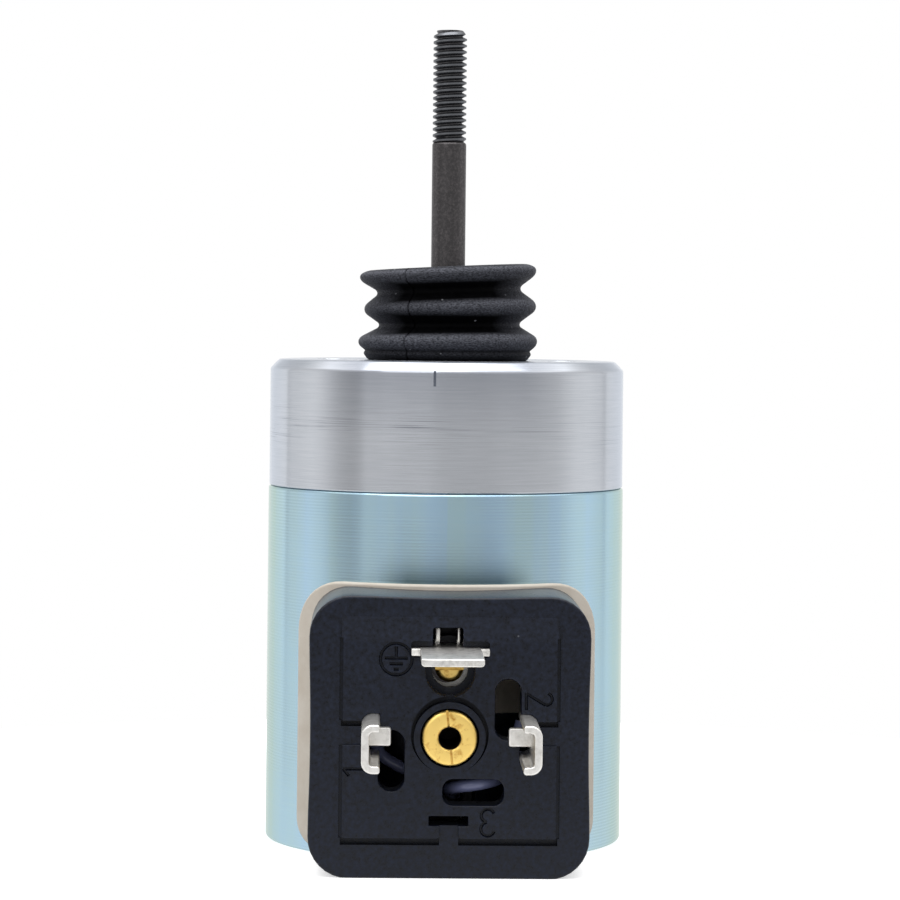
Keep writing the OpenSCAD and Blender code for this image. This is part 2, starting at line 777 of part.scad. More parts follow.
// Rubber grommet that leads both wires through the shell
module wire_grommet() {
    color("#26272a")
    on_plug_side() translate([0, wire_drop, 0]) difference() {
        translate([0, 0, wall_end_z])
            cylinder(r = wire_hole_r - slip_gap, h = gasket_r + grommet_lip - wall_end_z);
        for (s = [-1, 1]) translate([s * wire_pitch / 2, 0, 0])
            cylinder(r = lead_r + close_gap, h = rim_z);
    }
}

// Point between two others; each coordinate has its own share of the way
function between(a, b, share) = [for (i = [0:2]) a[i] + (b[i] - a[i]) * share[i]];

// Insulated wire from the coil through the grommet to a contact's tail
module lead_wire(side, bends) {
    sides = 10;
    never_along = [1, -1, -0.6];
    tail_x = contact_x - contact_t - lead_r - slip_gap;
    start = [wire_pitch / 2, wire_drop, wrap_r + slip_gap];
    exit = [wire_pitch / 2, wire_drop, gasket_r + grommet_lip + lead_stand];
    end = [tail_x, tail_h / 2 - lead_end_inset, front_wall_z - lead_r - lead_depth];
    route = concat([start, exit], [for (share = bends) between(exit, end, share)], [end]);
    color("#23263f")
    on_plug_side() scale([side, 1, 1]) tube_along(route, lead_r, sides, never_along);
}

// Lead to the left contact
module lead_wire_1() {
    lead_wire(-1, [[0.11, 0.08, 0.56], [0.39, 0.2, 0.82], [0.68, 0.39, 0.96], [0.88, 0.64, 0.96]]);
}

// Lead to the right contact
module lead_wire_2() {
    lead_wire(1, [[0.11, 0.11, 0.62], [0.39, 0.27, 0.9], [0.68, 0.44, 1], [0.88, 0.67, 1]]);
}

shell();
end_cap();
cap_o_ring();
front_bush();
pole_piece();
pole_bush();
guide_tube();
bobbin();
coil_winding();
coil_wrap();
wave_washer();
stop_pad();
bellows();
push_rod();
armature();
anti_stick_shim();
lock_nut();
return_spring();
connector_gasket();
connector_base();
contact_blade_1();
contact_blade_2();
earth_blade();
earth_screw();
earth_washer();
centre_insert();
wire_grommet();
lead_wire_1();
lead_wire_2();
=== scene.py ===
"""Studio scene of a push-type valve solenoid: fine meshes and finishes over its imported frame."""
import json
import logging
import math
from dataclasses import dataclass
from enum import Enum
from functools import cache
from typing import Any, Mapping, NamedTuple, Sequence

import bmesh
import bpy
from mathutils import Matrix, Vector
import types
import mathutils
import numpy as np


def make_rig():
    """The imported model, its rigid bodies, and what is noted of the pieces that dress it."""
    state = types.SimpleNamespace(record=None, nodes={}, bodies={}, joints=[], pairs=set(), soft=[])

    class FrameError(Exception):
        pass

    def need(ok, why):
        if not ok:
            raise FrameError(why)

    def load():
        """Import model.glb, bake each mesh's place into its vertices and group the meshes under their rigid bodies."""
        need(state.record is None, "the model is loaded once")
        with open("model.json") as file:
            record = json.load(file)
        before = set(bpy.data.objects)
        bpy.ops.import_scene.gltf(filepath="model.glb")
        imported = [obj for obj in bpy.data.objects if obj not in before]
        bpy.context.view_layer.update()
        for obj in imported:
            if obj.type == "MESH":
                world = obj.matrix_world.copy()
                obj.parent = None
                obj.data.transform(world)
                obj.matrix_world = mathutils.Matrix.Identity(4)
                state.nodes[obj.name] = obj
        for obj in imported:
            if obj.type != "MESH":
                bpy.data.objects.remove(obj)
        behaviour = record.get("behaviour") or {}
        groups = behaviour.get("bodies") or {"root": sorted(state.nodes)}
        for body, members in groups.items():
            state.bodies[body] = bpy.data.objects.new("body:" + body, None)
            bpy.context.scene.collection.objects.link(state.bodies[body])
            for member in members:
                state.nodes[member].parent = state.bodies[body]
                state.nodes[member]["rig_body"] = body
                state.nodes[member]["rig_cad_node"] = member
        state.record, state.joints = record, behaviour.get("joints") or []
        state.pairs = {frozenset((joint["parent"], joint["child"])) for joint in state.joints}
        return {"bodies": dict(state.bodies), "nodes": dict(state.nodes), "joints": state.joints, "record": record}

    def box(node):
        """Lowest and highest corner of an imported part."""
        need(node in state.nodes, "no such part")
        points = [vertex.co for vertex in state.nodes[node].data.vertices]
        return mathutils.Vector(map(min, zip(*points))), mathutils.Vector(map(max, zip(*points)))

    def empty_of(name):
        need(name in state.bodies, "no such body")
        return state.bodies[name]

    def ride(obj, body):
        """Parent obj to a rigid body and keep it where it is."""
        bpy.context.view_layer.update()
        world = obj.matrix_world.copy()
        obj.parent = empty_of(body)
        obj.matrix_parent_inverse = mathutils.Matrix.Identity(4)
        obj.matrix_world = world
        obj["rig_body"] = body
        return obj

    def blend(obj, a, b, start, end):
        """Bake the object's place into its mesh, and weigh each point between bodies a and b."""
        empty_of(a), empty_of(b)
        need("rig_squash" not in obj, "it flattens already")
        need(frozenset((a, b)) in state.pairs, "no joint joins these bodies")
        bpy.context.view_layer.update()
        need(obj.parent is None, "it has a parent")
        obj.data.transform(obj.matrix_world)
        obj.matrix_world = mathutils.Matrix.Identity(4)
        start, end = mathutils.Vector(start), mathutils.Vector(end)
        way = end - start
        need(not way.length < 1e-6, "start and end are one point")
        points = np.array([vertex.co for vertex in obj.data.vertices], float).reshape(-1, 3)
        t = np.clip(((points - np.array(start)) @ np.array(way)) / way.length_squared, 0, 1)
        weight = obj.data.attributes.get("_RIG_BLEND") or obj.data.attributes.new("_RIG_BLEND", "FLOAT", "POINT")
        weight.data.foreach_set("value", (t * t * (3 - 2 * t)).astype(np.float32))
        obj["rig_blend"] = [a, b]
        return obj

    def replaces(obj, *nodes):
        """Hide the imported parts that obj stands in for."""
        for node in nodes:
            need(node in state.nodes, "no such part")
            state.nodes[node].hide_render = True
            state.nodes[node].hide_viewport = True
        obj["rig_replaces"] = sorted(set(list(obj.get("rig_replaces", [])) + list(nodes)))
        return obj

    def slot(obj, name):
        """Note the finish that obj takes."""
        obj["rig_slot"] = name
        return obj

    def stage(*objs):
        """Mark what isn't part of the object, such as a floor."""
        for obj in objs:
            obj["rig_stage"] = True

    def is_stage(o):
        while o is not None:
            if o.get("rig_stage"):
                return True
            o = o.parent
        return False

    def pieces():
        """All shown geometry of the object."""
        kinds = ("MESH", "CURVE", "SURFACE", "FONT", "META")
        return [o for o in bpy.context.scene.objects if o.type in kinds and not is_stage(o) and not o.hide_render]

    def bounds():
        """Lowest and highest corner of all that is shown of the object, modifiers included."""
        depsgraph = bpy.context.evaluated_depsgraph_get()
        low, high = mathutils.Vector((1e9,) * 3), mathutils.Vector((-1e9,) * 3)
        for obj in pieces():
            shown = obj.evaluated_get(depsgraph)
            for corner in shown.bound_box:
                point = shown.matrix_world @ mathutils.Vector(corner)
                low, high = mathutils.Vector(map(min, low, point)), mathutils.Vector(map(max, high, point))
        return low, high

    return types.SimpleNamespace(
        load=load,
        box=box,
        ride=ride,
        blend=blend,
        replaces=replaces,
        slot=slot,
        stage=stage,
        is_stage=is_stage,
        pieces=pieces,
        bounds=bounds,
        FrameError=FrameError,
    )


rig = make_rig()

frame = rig.load()

LOG = logging.getLogger("solenoid")
SIZE_FILE = "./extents.json"
MM = 0.001
MERGE_MM = 1e-5
SHARP_ANGLE = math.radians(32)
ROUND_STEPS = 256
SMALL_ROUND_STEPS = 96
# Sockets of the Mix node go by number, because those for colours and for values share their names
MIX_A, MIX_B, MIX_RESULT = 6, 7, 2
VALUE_A, VALUE_B = 2, 3
# Octaves of a noise, from soft to crisp
SOFT, EVEN, FINE, CRISP = 2.0, 3.0, 4.0, 5.0
# Where most of a noise lies, and where its stains start and are full
NOISE_LOW, NOISE_HIGH = 0.3, 0.7
STAIN_LOW, STAIN_HIGH = 0.35, 0.68
# A wave texture's period is pi over its scale times this
WAVE_UNIT = 10
# Bevel profile of a round edge
ROUND_PROFILE = 0.5
# Order of a bent line, and its segments from one point to the next
LINE_ORDER, LINE_STEPS = 3, 10
# How far a tool reaches past what it cuts, in mm
BEYOND = 1.0
# Lays down along Y what was drawn along Z
LAID = Matrix.Rotation(math.radians(90), 4, "X")

Tree = bpy.types.NodeTree
Socket = bpy.types.NodeSocket
Node = bpy.types.Node
Shape = bpy.types.Object
Span = tuple[float, float]


class Body(Enum):
    """Bodies of the frame that a piece can ride on."""

    HOUSING = "housing"
    PLUNGER = "plunger"


class Join(Enum):
    """What a tool does to a solid."""

    ADD = "UNION"
    CUT = "DIFFERENCE"
    KEEP = "INTERSECT"


class Line(Enum):
    """How a bar follows its points."""

    STRAIGHT = "POLY"
    BENT = "NURBS"


class Corner(NamedTuple):
    """A corner of an outline in mm; soft is how far its rounding reaches along both sides."""

    across: float
    up: float
    soft: float = 0.0


class Arc(NamedTuple):
    """Part of a circle: middle and radius in mm, first and last angle in degrees, and its segments."""

    centre: Span
    radius: float
    first: float
    last: float
    steps: int

    def points(self) -> list[Span]:
        """Points from the first angle to the last.

        Returns:
            X and Y of each.
        """
        (x, y), turn = self.centre, self.last - self.first
        angles = [math.radians(self.first + turn * k / self.steps) for k in range(self.steps + 1)]
        return [(x + self.radius * math.cos(a), y + self.radius * math.sin(a)) for a in angles]


class Opening(NamedTuple):
    """An opening in the plug base's front: its size, corner radius and middle, in mm."""

    width: float
    height: float
    soft: float
    across: float = 0.0
    up: float = 0.0

    def raised(self, rise: float) -> "Opening":
        """The same opening, moved up."""
        return self._replace(up=self.up + rise)


def linear(code: str) -> tuple[float, float, float, float]:
    """Turns an sRGB hex colour into the linear colour that sockets take.

    Args:
        code: colour such as "#a0b0c0".

    Returns:
        Red, green, blue and alpha.
    """
    levels = [int(code[k:k + 2], 16) / 255 for k in (1, 3, 5)]
    red, green, blue = (c / 12.92 if c <= 0.04045 else ((c + 0.055) / 1.055) ** 2.4 for c in levels)
    return red, green, blue, 1.0


def add_node(tree: Tree, kind: str, inputs: Mapping[str | int, Any] | None = None, **settings: Any) -> Node:
    """Adds a shader node with its settings, constants and links.

    Args:
        tree: node tree that gets the node.
        kind: Blender's name of the node type, without ShaderNode in front.
        inputs: socket name or number to a constant, to an output socket to link from, or to a node whose
            first output is linked.
        settings: properties of the node itself.

    Returns:
        The new node.
    """
    node = tree.nodes.new(f"ShaderNode{kind}")
    for name, value in settings.items():
        setattr(node, name, value)
    for name, value in (inputs or {}).items():
        if isinstance(value, Node):
            tree.links.new(value.outputs[0], node.inputs[name])
        elif isinstance(value, Socket):
            tree.links.new(value, node.inputs[name])
        else:
            node.inputs[name].default_value = value
    return node


def from_axis(tree: Tree, place: Socket) -> tuple[Any, Socket]:
    """Splits Object coordinates and measures how far a point lies from the part's axis.

    Args:
        tree: the material's node tree.
        place: Object coordinates.

    Returns:
        Outputs X, Y and Z, and the distance.
    """
    split = add_node(tree, "SeparateXYZ", {"Vector": place}).outputs
    flat = add_node(tree, "CombineXYZ", {"X": split["X"], "Y": split["Y"]})
    reach = add_node(tree, "VectorMath", {0: flat}, operation="LENGTH")
    return split, reach.outputs["Value"]


def box_mm(node: str) -> tuple[Vector, Vector]:
    """Lowest and highest corner of a CAD node, in mm."""
    low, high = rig.box(node)
    return low / MM, high / MM


@dataclass(frozen=True)
class Finish:
    """A surface finish that makes one procedural material, named for the real one or for the shade that it paints."""

    name: str

    @cache
    def material(self) -> bpy.types.Material:
        """Makes the material once.

        Returns:
            The material, the same one at each call.
        """
        made = bpy.data.materials.new(self.name)
        made.use_nodes = True
        tree = made.node_tree
        tree.nodes.clear()
        surface = add_node(tree, "BsdfPrincipled")
        add_node(tree, "OutputMaterial", {"Surface": surface.outputs["BSDF"]})
        place = add_node(tree, "TexCoord").outputs["Object"]
        self.dress(tree, surface, place)
        return made

    def dress(self, tree: Tree, surface: Node, place: Socket) -> None:
        """Adds the finish's own nodes.

        Args:
            tree: the material's node tree.
            surface: its shader.
            place: Object coordinates.
        """
        raise NotImplementedError

    def lay(self, tree: Tree, surface: Node, skin: Socket, relief: Socket, depth_mm: float) -> None:
        """Joins colour and relief to the shader.

        Args:
            tree: the material's node tree.
            surface: its shader.
            skin: the colour.
            relief: heights from 0 to 1.
            depth_mm: what a height of 1 stands for.
        """
        height = add_node(tree, "Bump", {"Height": relief, "Strength": 1.0, "Distance": depth_mm * MM})
        tree.links.new(skin, surface.inputs["Base Color"])
        tree.links.new(height.outputs[0], surface.inputs["Normal"])

    def roughen(self, tree: Tree, surface: Node, noise: Socket, span: Span) -> None:
        """Lets the roughness follow a noise, between the two ends of a span."""
        rough = add_node(tree, "MapRange", {"Value": noise, "From Min": NOISE_LOW, "From Max": NOISE_HIGH,
                                            "To Min": span[0], "To Max": span[1]})
        tree.links.new(rough.outputs[0], surface.inputs["Roughness"])

    def flecked(self, tree: Tree, place: Socket, skin: Socket, speck: str, apart_mm: float,
                size: float) -> Socket:
        """Scatters small round specks.

        Args:
            tree: the material's node tree.
            place: Object coordinates.
            skin: colour below.
            speck: the specks' colour.
            apart_mm: how far they lie apart.
            size: their radius, as a share of that.

        Returns:
            The colour with its specks.
        """
        cells = add_node(tree, "TexVoronoi", {"Vector": place, "Scale": 1 / (apart_mm * MM)})
        near = add_node(tree, "MapRange", {"Value": cells.outputs["Distance"], "From Min": size,
                                           "From Max": 0.0})
        mixed = add_node(tree, "Mix", {0: near, MIX_A: skin, MIX_B: linear(speck)}, data_type="RGBA")
        return mixed.outputs[MIX_RESULT]


@dataclass(frozen=True)
class TurnedMetal(Finish):
    """Metal cut on a lathe: rings follow the tool, and handling leaves short streaks along them."""

    colour: str
    stain: str
    roughness: Span
    ring_mm: float
    ring_depth_mm: float
    streak_mm: Span
    stain_mm: float
    streak_share: float = 0.5
    edge_tint: str = "#ffffff"
    stretch: float = 0.9
    stretch_turn: float = 0.25
    feed_mm: float = 0.34
    feed_share: float = 0.0
    feed_shade: str = "#808488"
    feed_fade: Span = (0.35, 0.6)
    hues: tuple[str, str] | None = None
    hue_bands: float = 5.0
    scratched_mm: Span | None = None
    scratch: str = "#868a92"
    scratch_mm: Span = (11.0, 0.1)
    scratch_x_mm: Span = (6.0, -3.0)
    scratch_least: float = 0.3
    scratch_edge: Span = (0.55, 0.7)
    scratch_gaps: Span = (0.3, 0.5)
    # Darker patch in front: on the shell a painted reflection of the plug base, on the cap darker towards the top
    front_dark: str | None = None
    front_dark_x_mm: Span = (5.0, 8.4)
    front_dark_aside_mm: float = 0.8
    front_dark_z_mm: Span = (33.6, 29.5)
    front_dark_y_mm: Span = (0.0, -10.0)
    front_dark_power: float = 1.0
    face_slope: float = 1.37

    def dress(self, tree: Tree, surface: Node, place: Socket) -> None:
        """Adds rings, streaks and stains.

        Args:
            tree: the material's node tree.
            surface: its shader.
            place: Object coordinates.
        """
        split, reach = from_axis(tree, place)
        path = add_node(tree, "Math", {0: reach, 1: self.face_slope, 2: split["Z"]}, operation="MULTIPLY_ADD")
        turns = add_node(tree, "Math", {0: path, 1: 1 / (self.ring_mm * MM)}, operation="MULTIPLY")
        rings = add_node(tree, "TexNoise", {"W": turns, "Scale": 1.0, "Detail": EVEN}, noise_dimensions="1D")
        along, tall = (1 / (size * MM) for size in self.streak_mm)
        drawn = add_node(tree, "Mapping", {"Vector": place, "Scale": (along, along, tall)})
        streaks = add_node(tree, "TexNoise", {"Vector": drawn, "Scale": 1.0, "Detail": EVEN})
        stains = add_node(tree, "TexNoise", {"Vector": place, "Scale": 1 / (self.stain_mm * MM),
                                             "Detail": EVEN})
        worn = add_node(tree, "Mix", {0: self.streak_share, VALUE_A: stains.outputs["Fac"],
                                      VALUE_B: streaks.outputs["Fac"]}, data_type="FLOAT")
        amount = add_node(tree, "MapRange", {"Value": worn, "From Min": STAIN_LOW, "From Max": STAIN_HIGH})
        mixed = add_node(tree, "Mix", {0: amount, MIX_A: linear(self.colour), MIX_B: linear(self.stain)},
                         data_type="RGBA")
        skin = self.fed(tree, place, stains.outputs["Fac"], mixed.outputs[MIX_RESULT])
        if self.hues is not None:
            skin = self.tinted(tree, split, skin)
        if self.scratched_mm is not None:
            skin = self.scratched(tree, place, stains.outputs["Fac"], skin)
        if self.front_dark is not None:
            skin = self.darkened_front(tree, split, skin)
        self.lay(tree, surface, skin, rings.outputs["Fac"], self.ring_depth_mm)
        self.roughen(tree, surface, rings.outputs["Fac"], self.roughness)
        round_axis = add_node(tree, "Tangent", direction_type="RADIAL", axis="Z")
        tree.links.new(round_axis.outputs[0], surface.inputs["Tangent"])
        surface.inputs["Anisotropic"].default_value = self.stretch
        surface.inputs["Anisotropic Rotation"].default_value = self.stretch_turn
        surface.inputs["Metallic"].default_value = 1.0
        surface.inputs["Specular Tint"].default_value = linear(self.edge_tint)

    def fed(self, tree: Tree, place: Socket, stains: Socket, skin: Socket) -> Socket:
        """Draws the even marks of the tool's feed.

        Args:
            tree: the material's node tree.
            place: Object coordinates.
            stains: coarse noise that lets the marks fade.
            skin: colour below the marks.

        Returns:
            The colour with its marks.
        """
        scale = math.pi / (WAVE_UNIT * self.feed_mm * MM)
        marks = add_node(tree, "TexWave", {"Vector": place, "Scale": scale}, wave_type="BANDS",
                         bands_direction="Z")
        start, full = self.feed_fade
        fade = add_node(tree, "MapRange", {"Value": stains, "From Min": start, "From Max": full,
                                           "To Max": self.feed_share})
        amount = add_node(tree, "Math", {0: marks.outputs["Fac"], 1: fade}, operation="MULTIPLY")
        marked = add_node(tree, "Mix", {0: amount, MIX_A: skin, MIX_B: linear(self.feed_shade)},
                          data_type="RGBA", blend_type="MULTIPLY")
        return marked.outputs[MIX_RESULT]

    def tinted(self, tree: Tree, split: Any, skin: Socket) -> Socket:
        """Lets the plate's faint colours change round the axis.

        Args:
            tree: the material's node tree.
            split: outputs X, Y and Z of the Object coordinates.
            skin: colour below.

        Returns:
            The tinted colour.
        """
        turn = add_node(tree, "Math", {0: split["X"], 1: split["Y"]}, operation="ARCTAN2")
        bands = add_node(tree, "TexNoise", {"W": turn, "Scale": self.hue_bands, "Detail": EVEN},
                         noise_dimensions="1D")
        share = add_node(tree, "MapRange", {"Value": bands.outputs["Fac"], "From Min": NOISE_LOW,
                                            "From Max": NOISE_HIGH})
        first, second = (linear(hue) for hue in self.hues)
        hue = add_node(tree, "Mix", {0: share, MIX_A: first, MIX_B: second}, data_type="RGBA")
        shown = add_node(tree, "Mix", {0: 1.0, MIX_A: skin, MIX_B: hue.outputs[MIX_RESULT]},
                         data_type="RGBA", blend_type="MULTIPLY")
        return shown.outputs[MIX_RESULT]

    def scratched(self, tree: Tree, place: Socket, stains: Socket, skin: Socket) -> Socket:
        """Draws fine dark scratches round the metal in one band of heights.

        Args:
            tree: the material's node tree.
            place: Object coordinates.
            stains: coarse noise that leaves gaps.
            skin: colour below.

        Returns:
            The colour with its scratches.
        """
        low, high = self.scratched_mm
        middle, half = (low + high) / 2 * MM, (high - low) / 2 * MM
        split = add_node(tree, "SeparateXYZ", {"Vector": place}).outputs
        off = add_node(tree, "Math", {0: split["Z"], 1: middle}, operation="SUBTRACT")
        away = add_node(tree, "Math", {0: off}, operation="ABSOLUTE")
        near = add_node(tree, "MapRange", {"Value": away, "From Min": half, "From Max": 0.0})
        along, tall = (1 / (size * MM) for size in self.scratch_mm)
        drawn = add_node(tree, "Mapping", {"Vector": place, "Scale": (along, along, tall)})
        lines = add_node(tree, "TexNoise", {"Vector": drawn, "Scale": 1.0, "Detail": SOFT})
        start, full = self.scratch_edge
        fine = add_node(tree, "MapRange", {"Value": lines.outputs["Fac"], "From Min": start,
                                           "From Max": full})
        few, many = (x * MM for x in self.scratch_x_mm)
        side = add_node(tree, "MapRange", {"Value": split["X"], "From Min": few, "From Max": many,
                                           "To Min": self.scratch_least})
        start, full = self.scratch_gaps
        some = add_node(tree, "MapRange", {"Value": stains, "From Min": start, "From Max": full,
                                           "To Max": side})
        kept = add_node(tree, "Math", {0: near, 1: some}, operation="MULTIPLY")
        amount = add_node(tree, "Math", {0: kept, 1: fine}, operation="MULTIPLY")
        marked = add_node(tree, "Mix", {0: amount, MIX_A: skin, MIX_B: linear(self.scratch)},
                          data_type="RGBA")
        return marked.outputs[MIX_RESULT]

    def darkened_front(self, tree: Tree, split: Any, skin: Socket) -> Socket:
        """Darkens a patch in front that fades out to the sides, along the height and towards the back; on the shell it
        is a painted reflection of the plug base.

        Args:
            tree: the material's node tree.
            split: outputs X, Y and Z of the Object coordinates.
            skin: colour below.

        Returns:
            The colour with its patch.
        """
        inner, outer = (x * MM for x in self.front_dark_x_mm)
        clear, full = (z * MM for z in self.front_dark_z_mm)
        back, front = (y * MM for y in self.front_dark_y_mm)
        off = add_node(tree, "Math", {0: split["X"], 1: self.front_dark_aside_mm * MM}, operation="SUBTRACT")
        aside = add_node(tree, "Math", {0: off}, operation="ABSOLUTE")
        across = add_node(tree, "MapRange", {"Value": aside, "From Min": outer, "From Max": inner})
        rise = add_node(tree, "MapRange", {"Value": split["Z"], "From Min": clear, "From Max": full})
        ahead = add_node(tree, "MapRange", {"Value": split["Y"], "From Min": back, "From Max": front})
        deep = add_node(tree, "Math", {0: rise, 1: self.front_dark_power}, operation="POWER")
        patch = add_node(tree, "Math", {0: across, 1: deep}, operation="MULTIPLY")
        amount = add_node(tree, "Math", {0: patch, 1: ahead}, operation="MULTIPLY")
        darkened = add_node(tree, "Mix", {0: amount, MIX_A: skin, MIX_B: linear(self.front_dark)},
                          data_type="RGBA", blend_type="MULTIPLY")
        return darkened.outputs[MIX_RESULT]


@dataclass(frozen=True)
class PlainMetal(Finish):
    """Metal that was stamped, cast or plated: fine even grain with faint stains."""

    colour: str
    stain: str
    roughness: Span
    grain_mm: float
    grain_depth_mm: float
    stain_mm: float
    metallic: float = 1.0
    stain_from: float = 0.45
    stain_full: float = 0.72
    stain_breakup: float = 0.65
    edge_tint: str = "#ffffff"
    worn: str | None = None
    worn_mm: Span = (0.0, 1.0)
    worn_reach_mm: Span = (0.0, 0.001)
    speck: str | None = None
    speck_mm: float = 1.3
    speck_size: float = 0.06

    def dress(self, tree: Tree, surface: Node, place: Socket) -> None:
        """Adds grain and stains.

        Args:
            tree: the material's node tree.
            surface: its shader.
            place: Object coordinates.
        """
        grain = add_node(tree, "TexNoise", {"Vector": place, "Scale": 1 / (self.grain_mm * MM),
                                            "Detail": FINE})
        stains = add_node(tree, "TexNoise", {"Vector": place, "Scale": 1 / (self.stain_mm * MM),
                                             "Detail": CRISP, "Roughness": self.stain_breakup})
        amount = add_node(tree, "MapRange", {"Value": stains.outputs["Fac"], "From Min": self.stain_from,
                                             "From Max": self.stain_full})
        colour = add_node(tree, "Mix", {0: amount, MIX_A: linear(self.colour), MIX_B: linear(self.stain)},
                          data_type="RGBA")
        skin = colour.outputs[MIX_RESULT]
        if self.worn is not None:
            split, reach = from_axis(tree, place)
            start, end = (z * MM for z in self.worn_mm)
            inner, outer = (r * MM for r in self.worn_reach_mm)
            rise = add_node(tree, "MapRange", {"Value": split["Z"], "From Min": start, "From Max": end})
            crest = add_node(tree, "MapRange", {"Value": reach, "From Min": inner, "From Max": outer})
            share = add_node(tree, "Math", {0: rise, 1: crest}, operation="MULTIPLY")
            bared = add_node(tree, "Mix", {0: share, MIX_A: skin, MIX_B: linear(self.worn)}, data_type="RGBA")
            skin = bared.outputs[MIX_RESULT]
        if self.speck is not None:
            skin = self.flecked(tree, place, skin, self.speck, self.speck_mm, self.speck_size)
        self.lay(tree, surface, skin, grain.outputs["Fac"], self.grain_depth_mm)
        self.roughen(tree, surface, grain.outputs["Fac"], self.roughness)
        surface.inputs["Metallic"].default_value = self.metallic
        surface.inputs["Specular Tint"].default_value = linear(self.edge_tint)


